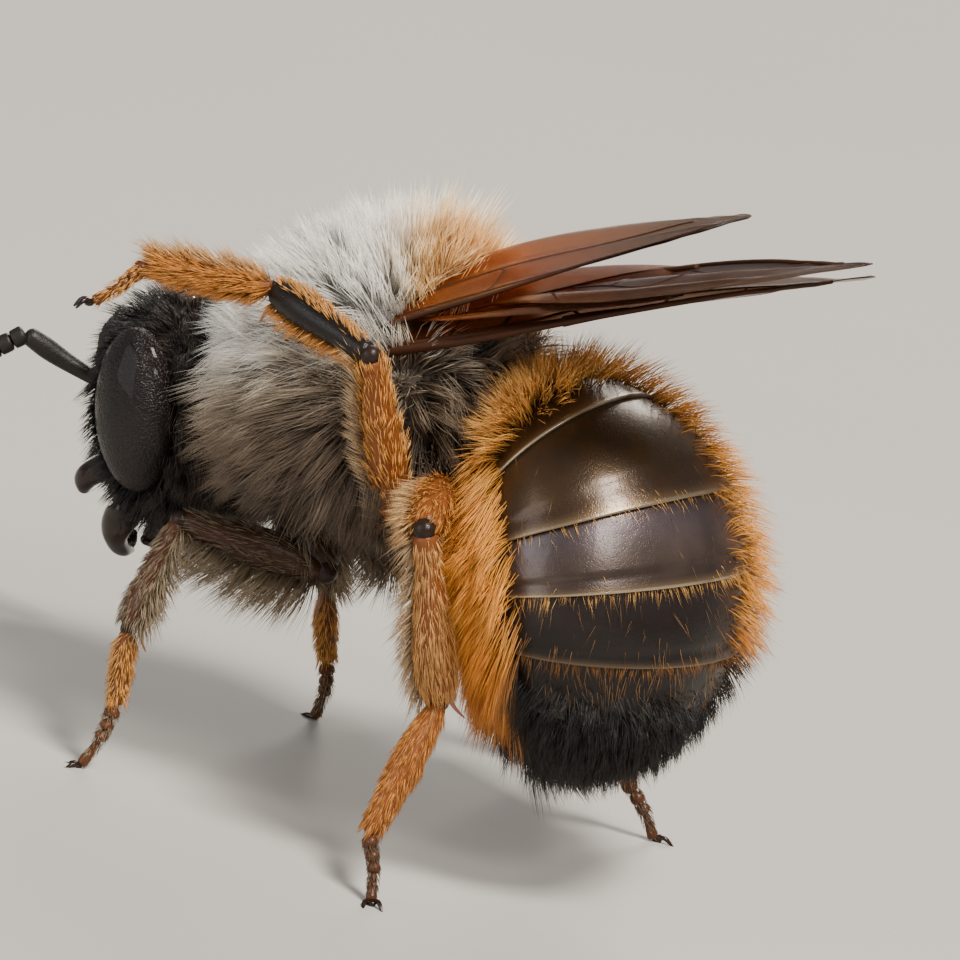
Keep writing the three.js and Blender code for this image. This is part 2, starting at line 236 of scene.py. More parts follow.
# Where each segment starts, by pose and on the left side, and last the tip of the foot.
LEG_JOINTS = {
    "front": [at(-1.25, 0.55, -2.2), at(-0.55, 0.9, -3.2), at(-2.15, 1.9, -2.54),
              at(-2.68, 2.32, -3.95), at(-2.78, 2.5, -4.95), on_floor(-3.15, 2.75)],
    "middle": [at(0.35, 0.7, -2.2), at(0.7, 1.3, -2.65), at(0.55, 3.0, -2.0),
               at(0.2, 3.85, -3.85), at(-0.25, 4.2, -5.3), on_floor(-0.6, 4.45)],
    "raised": [at(0.35, 0.7, -2.2), at(0.85, 1.35, -2.45), at(1.27, 2.6, -0.1),
               at(-0.42, 2.3, 0.63), at(-1.62, 3.44, 0.99), at(-2.15, 3.9, 0.5)],
    "hind": [at(1.2, 0.65, -1.8), at(1.5, 1.2, -1.9), at(2.19, 2.75, -2.28),
             at(2.08, 2.23, -4.57), at(1.54, 3.06, -6.23), on_floor(1.78, 3.38)],
}
LEG_RADII = {
    "front": {"hip": [0.42, 0.4, 0.24], "femur": [0.14, 0.26, 0.27, 0.2, 0.15],
              "tibia": [0.14, 0.15, 0.19, 0.21, 0.17], "basitarsus": [0.1, 0.14, 0.13, 0.11]},
    "middle": {"hip": [0.42, 0.38, 0.22], "femur": [0.13, 0.22, 0.24, 0.2, 0.15],
               "tibia": [0.15, 0.17, 0.21, 0.23, 0.17], "basitarsus": [0.11, 0.17, 0.16, 0.12]},
    "hind": {"hip": [0.42, 0.38, 0.22], "femur": [0.14, 0.25, 0.28, 0.25, 0.17],
             "tibia": [0.16, 0.17, 0.24, 0.28, 0.2], "basitarsus": [0.12, 0.2, 0.18, 0.13]},
}
LEG_RADII["raised"] = LEG_RADII["middle"]
# How far each leg has warmed from black to red-brown: hip, femur, tibia, basitarsus, foot.
LEG_WARMTH = {"front": [0.1, 0.15, 0.3, 0.6, 0.45], "middle": [0.2, 0.6, 0.5, 0.85, 0.5],
              "raised": [0.3, 0.95, 0.0, 0.8, 0.5], "hind": [0.3, 0.9, 0.85, 1.0, 0.35]}
FOOT_JOINTS = [0.0, 0.22, 0.41, 0.58, 1.0]  # where the short foot joints end
FOOT_RADII = [[0.06, 0.11, 0.09], [0.05, 0.1, 0.08], [0.05, 0.09, 0.075], [0.045, 0.06, 0.085]]
WHOLE_FOOT_RADII = [0.1, 0.09, 0.08, 0.06]  # of the plain form that the foot's hairs grow on
FOOT_ARCH = at(0.06, 0, 0)
KNEE_ROUND, KNEE_SHRINK = 1.12, 0.82  # a knee over its thigh's end, and each next joint over the last
KNEE_WARMTH = 0.05

leg_surfaces = {}
leg_parts = []
leg_warmth = []


def grow_leg_part(surface, rows, columns, warmth):
    leg_parts.append(shell(surface, rows, columns))
    leg_warmth.append(warmth)


for pair, side_name, side, pose in LEGS:
    joints = mirrored(LEG_JOINTS[pose], side)
    outer_side = (side, 0, 0.2)
    for i, part in enumerate(LEG_SEGMENTS):
        surface = limb(joints[i : i + 2], LEG_RADII[pose][part], side=outer_side)
        grow_leg_part(surface, 30, 28, LEG_WARMTH[pose][i])
        leg_surfaces[pair, side_name, part] = surface
    knee_radius = LEG_RADII[pose]["femur"][-1] * KNEE_ROUND
    for joint in joints[1:4]:
        grow_leg_part(egg((knee_radius,) * 3, joint), 12, 16, KNEE_WARMTH)
        knee_radius *= KNEE_SHRINK
    ankle, toe = joints[4:6]
    foot_line = [ankle, (ankle + toe) / 2 + FOOT_ARCH, toe]
    for start, stop, radii in zip(FOOT_JOINTS, FOOT_JOINTS[1:], FOOT_RADII):
        line = spline(foot_line, 2 * np.linspace(start - 0.02, stop + 0.01, 3).clip(0, 1))
        grow_leg_part(limb(line, radii, side=outer_side), 12, 16, LEG_WARMTH[pose][-1])
    leg_surfaces[pair, side_name, "foot"] = limb(foot_line, WHOLE_FOOT_RADII, side=outer_side)

# ---------- Head ----------
# The head is a hard black capsule, wider than long and flat in front. A raised plate, the clypeus,
# fills the lower face above the jaws, and a fine ridge runs down the brow.
HEAD_HALF, HEAD_MIDDLE = np.array([1.6, 1.12, 1.5]), at(-3.2, 0, -1.35)
FACE_PLATE = at(-4.2, 0, -2.0)
FACE_PLATE_TOP = -1.42  # height of its upper seam in the middle of the face
FEELER_SOCKETS = [at(-4.2, 0.45, -1.15), at(-4.2, -0.45, -1.15)]
NAPE = at(-2.1, 0, -1.2)


def head_sculpt(points, normal):
    left, back, up = points[..., 0], points[..., 1], points[..., 2]
    face = smooth(-3.3, -3.9, back)
    raised = 0.16 * hump(points, FACE_PLATE, (0.85, 0.8, 0.7))
    ridge = groove(left, 0.05, 0.06) * face * smooth(-1.7, -1.2, up) * smooth(0.0, -0.4, up)
    plate_seam = groove(up - FACE_PLATE_TOP + 0.5 * left**2, 0.05, 0.05) * face
    sunk = sum(0.12 * hump(points, socket, (0.3, 0.5, 0.3)) for socket in FEELER_SOCKETS)
    hollow = 0.3 * hump(points, NAPE, (0.9, 0.5, 0.8))
    return points + normal * (raised + ridge - plate_seam - sunk - hollow)[..., None]


def head_shape(points, normal):
    """Flatter in front, and narrower towards the mouth."""
    ball = (points - HEAD_MIDDLE) / HEAD_HALF
    ball[..., 1] *= np.where(ball[..., 1] < 0, 0.9 + 0.1 * ball[..., 2], 1)
    ball[..., 0] *= np.where(ball[..., 2] < 0, 1 + 0.2 * ball[..., 2], 1 - 0.06 * ball[..., 2])
    return head_sculpt(ball * HEAD_HALF + HEAD_MIDDLE, normal)


head = egg(HEAD_HALF, HEAD_MIDDLE, full=0.86, sculpt=head_shape)
head_parts = [shell(head, 84, 112)]

# ---------- Skin ----------
# Head, trunk and legs are one hard coat of chitin: black with a dull shine and fine pits, warming
# to red-brown along the legs. Under the dense fur of the trunk it looks felted, in the fur's tones.


def node(tree, kind, settings=None, **inputs):
    """A shader node with its settings and inputs. An input is given by its name, or as i and its
    number, and a socket is linked to it."""
    made = tree.nodes.new("ShaderNode" + kind)
    for key, value in (settings or {}).items():
        setattr(made, key, value)
    for key, value in inputs.items():
        numbered = key[0] == "i" and key[1:].isdigit()
        socket = made.inputs[int(key[1:]) if numbered else key.replace("_", " ")]
        if isinstance(value, bpy.types.NodeSocket):
            tree.links.new(value, socket)
        else:
            socket.default_value = value
    return made


def colour_socket(colour):
    return colour if isinstance(colour, bpy.types.NodeSocket) else (*colour, 1)


def mixed(tree, share, first, second):
    """Colour between two, each a socket or plain numbers, by a share."""
    first, second = colour_socket(first), colour_socket(second)
    return node(tree, "Mix", {"data_type": "RGBA"}, i0=share, i6=first, i7=second).outputs[2]


def ramp(tree, share, stops):
    """Colour from a share, by stops of place and colour."""
    made = node(tree, "ValToRGB", Fac=share)
    stops = sorted(stops.items())
    held = made.color_ramp.elements
    while len(held) < len(stops):
        held.new(1.0)
    for element, (place, colour) in zip(held, stops):
        element.position = place
        element.color = (*colour, 1)
    return made.outputs["Color"]


def mark(tree, name):
    """The value that a piece holds at its points under this name."""
    return node(tree, "Attribute", {"attribute_name": name}).outputs["Fac"]


def shader_group(name, inputs, outputs):
    """An empty shader node group, and its input and output nodes."""
    tree = bpy.data.node_groups.new(name, "ShaderNodeTree")
    for label, kind, value in inputs:
        tree.interface.new_socket(label, in_out="INPUT", socket_type=kind).default_value = value
    for label, kind in outputs:
        tree.interface.new_socket(label, in_out="OUTPUT", socket_type=kind)
    return tree, tree.nodes.new("NodeGroupInput"), tree.nodes.new("NodeGroupOutput")


def use_group(tree, group, **inputs):
    made = tree.nodes.new("ShaderNodeGroup")
    made.node_tree = group
    for key, value in inputs.items():
        if isinstance(value, bpy.types.NodeSocket):
            tree.links.new(value, made.inputs[key])
        else:
            made.inputs[key].default_value = value
    return made


def new_finish(name, **inputs):
    """A material, its node tree and its main shader, with plain values set on the shader."""
    made = bpy.data.materials.new(name)
    made.use_nodes = True
    shader = made.node_tree.nodes["Principled BSDF"]
    for key, value in inputs.items():
        shader.inputs[key.replace("_", " ")].default_value = value
    return made, made.node_tree, shader


def pitted_chitin():
    """Fine pits and a faint grain, for every hard part. Pits is how many there are along a metre."""
    tree, given, out = shader_group(
        "pitted_chitin",
        [("Pits", "NodeSocketFloat", 18000.0), ("Depth", "NodeSocketFloat", 0.5),
         ("Gloss", "NodeSocketFloat", 0.3)],
        [("Height", "NodeSocketFloat"), ("Roughness", "NodeSocketFloat"), ("Mottle", "NodeSocketFloat")],
    )
    place = node(tree, "TexCoord").outputs["Object"]
    cells = node(tree, "TexVoronoi", Vector=place, Scale=given.outputs["Pits"])
    pit = node(tree, "MapRange", Value=cells.outputs["Distance"], i1=0.1, i2=0.42)
    grain = node(tree, "TexNoise", Vector=place, Scale=9000.0, Detail=3.0)
    broad = node(tree, "TexNoise", Vector=place, Scale=1400.0, Detail=4.0)
    height = node(tree, "Math", {"operation": "MULTIPLY_ADD"}, i0=pit.outputs[0], i1=given.outputs["Depth"],
                  i2=grain.outputs[0])
    uneven = node(tree, "Math", {"operation": "MULTIPLY_ADD"}, i0=broad.outputs[0], i1=0.22,
                  i2=given.outputs["Gloss"])
    tree.links.new(height.outputs[0], out.inputs["Height"])
    tree.links.new(uneven.outputs[0], out.inputs["Roughness"])
    tree.links.new(broad.outputs[0], out.inputs["Mottle"])
    return tree


CHITIN = pitted_chitin()


def chitin_finish(name, colour_of, pits=18000.0, depth=0.5, gloss=0.3, bump=0.25, **inputs):
    """A hard shell's material. colour_of makes the colour from the tree and its mottle."""
    made, tree, shader = new_finish(name, **inputs)
    wear_and_glint = use_group(tree, CHITIN, Pits=pits, Depth=depth, Gloss=gloss)
    relief = node(tree, "Bump", Strength=bump, Distance=0.00002, Height=wear_and_glint.outputs["Height"])
    tree.links.new(colour_of(tree, wear_and_glint.outputs["Mottle"]), shader.inputs["Base Color"])
    tree.links.new(wear_and_glint.outputs["Roughness"], shader.inputs["Roughness"])
    tree.links.new(relief.outputs["Normal"], shader.inputs["Normal"])
    return made


SKIN_BLACK, SKIN_BROWN, LEG_RED = (0.006, 0.005, 0.005), (0.014, 0.010, 0.008), (0.19, 0.058, 0.014)
# Trunk fur colours by zone, from the brown breast over the grey flanks to the white back, and
# tawny behind the wings.
TRUNK_COLOURS = {0.0: (0.05, 0.034, 0.022), 0.25: (0.17, 0.12, 0.08), 0.45: (0.40, 0.32, 0.23),
                 0.66: (0.92, 0.89, 0.82), 0.8: (0.86, 0.62, 0.32), 1.0: (0.66, 0.29, 0.06)}


def trunk_zone(points):
    """Place in the fur's colours of each point of the trunk."""
    left, back, up = points.T
    pale = 0.18 + 0.48 * smooth(-1.5, 0.35, up + 0.3 * smooth(0.2, -1.5, back))
    pale -= 0.18 * smooth(-1.6, -2.3, up)
    rear = back - 0.45 * np.abs(left) + 0.25 * (up - 0.4)
    tawny = smooth(-0.1, 0.5, rear) * smooth(-0.4, 0.2, up)
    return pale * (1 - tawny) + (0.74 + 0.22 * smooth(0.2, 0.9, rear)) * tawny


def furry_share(points, side):
    """How furry the trunk is: bare at the waist, the neck, the wing's root and under the wing."""
    at_waist = hump(points, at(1.7, 0, -1.1), (1.0, 0.6, 0.8))
    at_neck = hump(points, at(-2.0, 0, -1.1), (1.0, 0.5, 0.8))
    at_wing_root = hump(points, at(0.4, 1.7 * side, 0.06), (0.7, 1.0, 0.44))
    under_wing = hump(points, at(1.15, 1.1 * side, 0.04), (0.75, 0.9, 0.5))
    ends = (1 - at_waist - at_neck).clip(0)
    return ends * (1 - 1.3 * at_wing_root).clip(0) * (1 - 1.3 * under_wing).clip(0)


def skin_colour(tree, mottle):
    black = mixed(tree, mottle, SKIN_BLACK, SKIN_BROWN)
    warm = mixed(tree, mark(tree, "warm"), black, LEG_RED)
    return mixed(tree, mark(tree, "felt"), warm, ramp(tree, mark(tree, "zone"), TRUNK_COLOURS))


points, faces, number = joined([*trunk_parts, *head_parts, *leg_parts])
warm = np.array([0.0] * len(trunk_parts + head_parts) + leg_warmth)[number]
felt = np.where(number == 0, 0.04 + 0.26 * furry_share(points, 1) * furry_share(points, -1), 0.0)
skin_nodes = ["head", "thorax"] + [
    f"leg_{pair}_{side_name}_{part}"
    for pair, side_name, *_ in LEGS
    for part in (*LEG_SEGMENTS[1:], "foot")
]
skin_finish = chitin_finish("black_chitin", skin_colour, pits=26000.0, gloss=0.22, bump=0.25,
                            Specular_IOR_Level=0.22)
piece("skin", points, faces, skin_finish, "leg_shell", skin_nodes, warm=warm, felt=felt,
      zone=trunk_zone(points))

# ---------- Abdomen plates ----------
# The abdomen is a telescope of six horny rings that curls down and under. Each ring's back edge
# overlaps the next, and a seam along the flank parts its upper plate from the lower one.
BELLY_LINE = [at(1.9, 0, -1.1), at(2.55, 0, -1.5), at(3.05, 0, -2.2), at(3.25, 0, -3.1),
              at(3.2, 0, -4.0), at(3.0, 0, -4.8), at(2.75, 0, -5.55)]
BELLY_HALF = (2.12, 1.65)  # half width and half depth
BELLY_FULL = 0.52  # 0.5 is an egg, and less is blunter
RING_ENDS = [0.0, 1.15, 2.25, 3.05, 3.9, 4.8, 6.0]  # places along the line, one for each of its points
FLANK_SEAM = radians(112)  # from the middle of the back
FLANK_STEP = 0.06  # how far the lower plates lie in from the upper ones
EDGE_SHARE = 0.78  # the smooth back border starts here along a ring
# How far a ring stands proud of the plain form, by share of its length, and at its rolled back edge.
RING_SHARES = [-0.3, -0.1, 0.0, 0.7, EDGE_SHARE, 0.96, 1.0]
RING_PROUD = [-0.14, -0.07, -0.03, 0.015, 0.0, 0.03, 0.035]
ROLLED_EDGE = [0.02, -0.02, -0.12]
TAIL_SHARES, TAIL_PROUD = [-0.3, -0.1, 0.0, 0.7, 1.0], [-0.14, -0.07, -0.03, 0.0, 0.0]


def belly_at(turn, place, proud):
    """Points of the abdomen: turn from the middle of the back towards the left, place along the
    line, and how far they stand proud of the plain form."""
    place = np.asarray(place, float)
    full = np.sin(pi * np.clip(place / 6, 0.0005, 0.9995)) ** BELLY_FULL
    tangent = unit(spline(BELLY_LINE, place + 0.02) - spline(BELLY_LINE, place - 0.02))
    rise = np.stack([0 * place, -tangent[..., 2], tangent[..., 1]], -1)
    across = (BELLY_HALF[0] * full + proud) * np.sin(turn)
    above = (BELLY_HALF[1] * full + proud) * np.cos(turn)
    points = spline(BELLY_LINE, place) + rise * above[..., None]
    points[..., 0] += across
    return points


def belly(around, along):
    """The whole abdomen as one plain surface, for its coat."""
    return belly_at(2 * pi * around, 6 * along, 0.0 * along)


def ring_mesh(first, last, columns=120):
    """One ring: a barrel from under the ring before it to its own rounded back edge. It comes with
    the share of the ring's length and the place along the line of every point."""
    if last < RING_ENDS[-1]:
        share = np.concatenate([np.linspace(-0.3, 0.96, 30), [0.98, 0.995, 1.0, 1.0, 0.99]])
        proud = np.interp(share, RING_SHARES, RING_PROUD)
        proud[-3:] = ROLLED_EDGE
    else:
        share = np.concatenate([np.linspace(-0.25, 0.8, 22), np.linspace(0.82, 0.995, 14)])
        proud = np.interp(share, TAIL_SHARES, TAIL_PROUD)
    place = np.maximum(first + share * (last - first), 0.01)
    turn = 2 * pi * np.arange(columns) / columns
    turns, places = np.meshgrid(turn, place)
    seam = np.abs(np.minimum(turns, 2 * pi - turns))
    step = FLANK_STEP * smooth(FLANK_SEAM - 0.02, FLANK_SEAM + 0.03, seam)
    rings = belly_at(turns, places, proud[:, None] - step)
    ends = [spline(BELLY_LINE, np.array(p)) for p in (place[0], place[-1])]
    points, faces = loft(rings, ends[0], ends[1])
    shares = np.concatenate([[0], np.repeat(share, columns), [1]])
    along = np.concatenate([[place[0]], places.ravel(), [place[-1]]])
    return points, faces, shares, along


# Ring colours by place along the abdomen: bronze in front, then a third ring lightened to purple-grey
# by a painted reflection, then black.
RING_COLOURS = {
    0.0: (0.08, 0.036, 0.010), 0.3: (0.09, 0.048, 0.016), 0.37: (0.075, 0.038, 0.018),
    0.39: (0.13, 0.10, 0.11), 0.45: (0.13, 0.09, 0.075), 0.50: (0.09, 0.058, 0.045),
    0.52: (0.045, 0.032, 0.03), 0.58: (0.016, 0.011, 0.01), 0.75: (0.005, 0.004, 0.004),
}
# The pale line along each ring's rolled back edge is a painted highlight; the tan border is the ring's own
# colour.
SPECK, EDGE_TAN, EDGE_HIGHLIGHT = (0.01, 0.007, 0.006), (0.20, 0.13, 0.065), (0.62, 0.54, 0.40)
EDGE_TONE = (0.5, 0.6, 0.7, 0.35, 0.15, 0.0)  # how tan each ring's back border is
HIGHLIGHT_TONE = (0.7, 0.35, 0.4, 0.12, 0.0, 0.0)  # how bright the painted highlight along its very edge is


def plate_colour(tree, mottle):
    body = ramp(tree, mark(tree, "ring"), RING_COLOURS)
    speckled = mixed(tree, mottle, body, SPECK)
    bordered = mixed(tree, mark(tree, "edge"), speckled, EDGE_TAN)
    # The pale line along the rolled edge is a painted highlight.
    return mixed(tree, mark(tree, "line"), bordered, EDGE_HIGHLIGHT)


plate_finish = chitin_finish("bronze_plates", plate_colour, pits=30000.0, depth=0.5, gloss=0.2, bump=0.16,
                             Metallic=0.5, Specular_IOR_Level=0.45, Coat_Weight=0.08, Coat_Roughness=0.1)
for i, (first, last) in enumerate(zip(RING_ENDS, RING_ENDS[1:])):
    points, faces, shares, along = ring_mesh(first, last)
    turn = np.arctan2(points[:, 0], points[:, 2] - points[:, 2].mean())
    edge = EDGE_TONE[i] * smooth(EDGE_SHARE + 0.1, 1.0, shares)
    # The pale line at each ring's rolled edge is a painted highlight, broken into patches round the ring.
    wear_and_glint = 0.25 + 0.75 * np.abs(np.sin(2.7 * turn + 1.4 * i))
    line = HIGHLIGHT_TONE[i] * wear_and_glint * smooth(0.965, 0.985, shares)
    slot = "bronze_shell" if i < 3 else "black_shell"
    piece(f"abdomen_plate_{i + 1}", points, faces, plate_finish, slot, [f"abdomen_{i + 1}"],
          ring=along / 6, edge=edge, line=line)

# ---------- Eyes ----------
# Each compound eye is a tall, near-black oval of tiny six-sided lenses, set in the side of the
# head. Three single eyes, clear domes like beads, stand in a triangle on the crown.
EYE_HALF, EYE_MIDDLE = (0.42, 0.6, 1.08), at(-3.15, 1.42, -1.2)
EYE_BLACK, EYE_BROWN = (0.004, 0.003, 0.003), (0.016, 0.009, 0.007)
eye_finish, tree, shader = new_finish("compound_eye", Roughness=0.24, Specular_IOR_Level=0.2,
                                      Coat_Weight=0.14, Coat_Roughness=0.05)
place = node(tree, "TexCoord").outputs["Object"]
lenses = node(tree, "TexVoronoi", Vector=place, Scale=32000.0)
cloud = node(tree, "TexNoise", Vector=place, Scale=900.0)
facets = node(tree, "Bump", {"invert": True}, Strength=0.9, Distance=0.00002,
              Height=lenses.outputs["Distance"])
tree.links.new(mixed(tree, cloud.outputs[0], EYE_BLACK, EYE_BROWN), shader.inputs["Base Color"])
tree.links.new(facets.outputs["Normal"], shader.inputs["Normal"])
for side_name, side in SIDES.items():
    middle = mirrored([EYE_MIDDLE], side)[0]
    points, faces = shell(egg(EYE_HALF, middle), 48, 56)
    piece(f"eye_{side_name}", points, faces, eye_finish, "eye", [f"eye_{side_name}"])

OCELLI = {"middle": at(-3.4, 0, 0.1), "left": at(-3.02, 0.36, 0.14), "right": at(-3.02, -0.36, 0.14)}
OCELLUS_HALF = (0.15, 0.15, 0.13)
BEAD_BLACK, BEAD_AMBER = (0.01, 0.008, 0.008), (0.09, 0.045, 0.02)
bead_finish, tree, shader = new_finish("bead_eye", Roughness=0.06, Coat_Weight=0.6)
place = node(tree, "TexCoord").outputs["Object"]
glow = node(tree, "TexNoise", Vector=place, Scale=2500.0)
tree.links.new(mixed(tree, glow.outputs[0], BEAD_BLACK, BEAD_AMBER), shader.inputs["Base Color"])
for name, middle in OCELLI.items():
    points, faces = shell(egg(OCELLUS_HALF, middle), 20, 28)
    piece(f"ocellus_{name}", points, faces, bead_finish, "eye", [f"ocellus_{name}"])

# ---------- Feelers ----------
# Each feeler has a long first joint on a knob in the middle of the face, an elbow, and a lash of
# eleven short joints. All are dull black chitin.
SCAPE = [at(-4.05, 0.45, -1.15), at(-4.7, 0.75, -0.75), at(-5.1, 1.15, -0.35)]
LASH = [at(-5.1, 1.15, -0.35), at(-5.6, 1.5, -0.75), at(-5.85, 1.8, -1.7), at(-5.75, 2.0, -2.75)]
KNOB_HALF, SCAPE_RADII = (0.15, 0.15, 0.15), [0.1, 0.1, 0.12, 0.14, 0.12]
LASH_JOINTS, LASH_RADIUS = 11, 0.13
LASH_JOINT_RADII = [0.93 * LASH_RADIUS, LASH_RADIUS, LASH_RADIUS, 0.95 * LASH_RADIUS]


def dull_black(tree, mottle):
    return mixed(tree, mottle, (0.006, 0.005, 0.005), (0.02, 0.015, 0.012))


feeler_finish = chitin_finish("dull_black_chitin", dull_black, pits=30000.0, gloss=0.35, bump=0.3,
                              Specular_IOR_Level=0.3)
for side_name, side in SIDES.items():
    scape, lash = mirrored(SCAPE, side), mirrored(LASH, side)
    knob, rod = shell(egg(KNOB_HALF, scape[0]), 12, 18), shell(limb(scape, SCAPE_RADII), 24, 20)
    points, faces, _ = joined([knob, rod])
    name = f"antenna_{side_name}_scape"
    piece(name, points, faces, feeler_finish, "black_shell", [name])
    ends = np.linspace(0, 3, LASH_JOINTS + 1)
    parts = []
    for start, stop in zip(ends, ends[1:]):
        line = spline(lash, np.clip([start, (start + stop) / 2, stop + 0.01], 0, 3))
        parts.append(shell(limb(line, LASH_JOINT_RADII, cap=0.2), 12, 18))
    points, faces, _ = joined(parts)
    name = f"antenna_{side_name}_flagellum"
    piece(name, points, faces, feeler_finish, "black_shell", [name])

# ---------- Jaws and horns ----------
# A pair of stout toothed jaws crosses under the face, and two blunt horns stand on the face plate
# of the female, which packs mud with them. Both are polished black chitin.
JAW = [at(-3.55, 0.9, -2.45), at(-3.88, 0.85, -2.85), at(-4.08, 0.5, -3.12), at(-4.12, 0.05, -3.2)]
JAW_RADII = [0.24, 0.23, 0.19, 0.17, 0.06]
TEETH = [(0.15, 0.0), (0.3, 0.14)]  # each tooth's distance from the jaw's tip, and its lean
TOOTH_RADII = [0.1, 0.09, 0.03]
HORN = [at(-4.0, 0.66, -2.05), at(-4.42, 0.68, -2.22), at(-4.62, 0.52, -2.46)]
HORN_RADII = [0.2, 0.17, 0.15, 0.07]


def jaw_black(tree, mottle):
    return mixed(tree, mottle, (0.006, 0.005, 0.005), (0.03, 0.012, 0.006))


jaw_finish = chitin_finish("polished_black_chitin", jaw_black, pits=20000.0, depth=0.3, gloss=0.1, bump=0.12,
                           Specular_IOR_Level=0.35)
for side_name, side in SIDES.items():
    jaw = mirrored(JAW, side)
    jaw[-1] = jaw[-1] + at(-0.06 * side, 0, -0.05 * side)  # the left tip crosses in front
    parts = [shell(limb(jaw, JAW_RADII, flat=0.75, side=(0, 0.6, 0.8)), 36, 28)]
    for back_from_tip, lean in TEETH:
        root = spline(jaw, np.array(3 - 2.2 * back_from_tip))
        tip = root + at(0.1, -0.06 * side, 0.24 - lean)
        parts.append(shell(limb([root, tip], TOOTH_RADII), 10, 14))
    points, faces, _ = joined(parts)
    piece(f"mandible_{side_name}", points, faces, jaw_finish, "black_shell", [f"mandible_{side_name}"])
    points, faces = shell(limb(mirrored(HORN, side), HORN_RADII), 22, 22)
    piece(f"horn_{side_name}", points, faces, jaw_finish, "black_shell", [f"horn_{side_name}"])

# ---------- Claws ----------
# Every foot ends in a pair of curved claws with a small soft pad between them. The claws are hard
# black chitin, jointed to the tip of the foot.
CLAW_LENGTH, CLAW_RADII = 0.24, [0.04, 0.035, 0.03, 0.012]
CLAW_BEND, CLAW_SPREAD = at(0, 0, 0.05), 0.09  # halfway along a claw, over and beside the foot's line
CLAW_DROP, CLAW_TIP_SPREAD = at(0, 0, -0.04), 0.13  # and at its tip
PAD_HALF, PAD_AHEAD = (0.06, 0.07, 0.05), 0.05
parts = []
for _, _, side, pose in LEGS:
    ankle, toe = mirrored(LEG_JOINTS[pose], side)[4:6]
    ahead = unit(unit(toe - ankle) * np.array([1, 1, 0.15]))  # nearly level
    across = unit(np.cross(ahead, np.array([0, 0, 1.0])))
    parts.append(shell(egg(PAD_HALF, toe + ahead * PAD_AHEAD), 10, 14))
    for hand in (-1, 1):
        bend = toe + ahead * 0.5 * CLAW_LENGTH + across * hand * CLAW_SPREAD + CLAW_BEND
        tip = toe + ahead * CLAW_LENGTH + across * hand * CLAW_TIP_SPREAD + CLAW_DROP
        parts.append(shell(limb([toe, bend, tip], CLAW_RADII), 12, 12))
points, faces, _ = joined(parts)
piece("claws", points, faces, jaw_finish, "leg_shell")

# ---------- Spurs ----------
# A horny pinkish spur, fine as a thorn, is jointed to the lower end of each shin. The bee combs
# itself and grips with it.
SPUR_LENGTH, SPUR_RADII, SPUR_BOW = 0.48, [0.035, 0.028, 0.02, 0.008], 0.04
SHIN_RIM = 0.12  # the spur is rooted this far from the shin's line, on its inner side


def spur_pink(tree, mottle):
    return mixed(tree, mottle, (0.30, 0.10, 0.055), (0.42, 0.20, 0.12))


parts = []
for _, _, side, pose in LEGS:
    knee, shin_end = mirrored(LEG_JOINTS[pose], side)[2:4]
    along_shin = unit(shin_end - knee)
    inner = np.array([0, 0, -1.2]) if pose == "raised" else np.array([-0.7 * side, 0.25, 0])
    root = shin_end - 0.1 * along_shin + SHIN_RIM * unit(inner)
    tip = root + SPUR_LENGTH * unit(along_shin + inner)
    bow = (root + tip) / 2 + SPUR_BOW * along_shin
    parts.append(shell(limb([root, bow, tip], SPUR_RADII), 14, 10))
points, faces, _ = joined(parts)
spur_finish = chitin_finish("pink_chitin", spur_pink, pits=40000.0, bump=0.1)
piece("spurs", points, faces, spur_finish, "leg_shell")

# ---------- Wings ----------
# Four clear amber films, a few hundredths of a millimetre thick, stiffened by dark hollow veins.
# They hinge under small scales on the thorax, and are folded back one on another.
FILM = 0.016
# Each wing's root and tip, its roll in degrees from root to tip, how high its line arches, and the
# height of its film over that line. The right pair shares one line and hangs together.
RIGHT_LINE = (at(0.1, -1.65, -0.2), at(7.62, 0.6, 1.17), [6, 0, -3, -3], 0.22)
WING_LINES = {
    "fore_left": (at(0.1, 1.65, -0.3), at(7.79, 1.0, 1.21), [24, 26, 12, 2, -4], 0.05, -0.05),
    "fore_right": (*RIGHT_LINE, 0.11),
    "hind_left": (at(0.55, 1.4, 0.0), at(5.87, 0.8, 1.72), [30, 18, 9], 0.05, 0.06),
    "hind_right": (*RIGHT_LINE, -0.01),
}
FORE_SHAPE = {"bow": 0.22, "swell": 2.45, "peak": 1.35, "fullness": 0.8, "root": 0.55, "tip": 0.12}
HIND_SHAPE = {"bow": 0.22, "swell": 1.66, "peak": 0.95, "fullness": 0.75, "root": 0.5, "tip": 0.12}
# The right hind wing lies under its fore wing: how far back it starts across and along it, and the
# share of its full width.
TUCK = {"chord": 1.45, "start": 0.1, "end": 0.72, "share": 0.7}


def chord(shape, t):
    """Width of a wing at t, from 0 at its root to 1 at its tip."""
    swell = shape["swell"] * np.sin(pi * np.clip(t, 0, 1) ** shape["peak"]).clip(0) ** shape["fullness"]
    return shape["tip"] + swell + (shape["root"] - shape["tip"]) * (1 - t) ** 3


def wing_place(name, side, t, across, height):
    """Point on a wing: t from root to tip, across from the front edge in mm, height over its film."""
    root, tip, roll, arch, layer = WING_LINES[name]
    along = unit(tip - root)
    inward = unit(np.array([-side, 0, 0]) + along * side * along[0])
    lift = np.cross(along, inward) * side
    angle = np.radians(np.interp(t, np.linspace(0, 1, len(roll)), roll))[..., None]
    chord_way = inward * np.cos(angle) + lift * np.sin(angle)
    normal = np.cross(along, chord_way) * side
    base = root + (tip - root) * t[..., None] + lift * (arch * np.sin(pi * t))[..., None]
    return base + chord_way * across[..., None] + normal * (height + layer)[..., None]


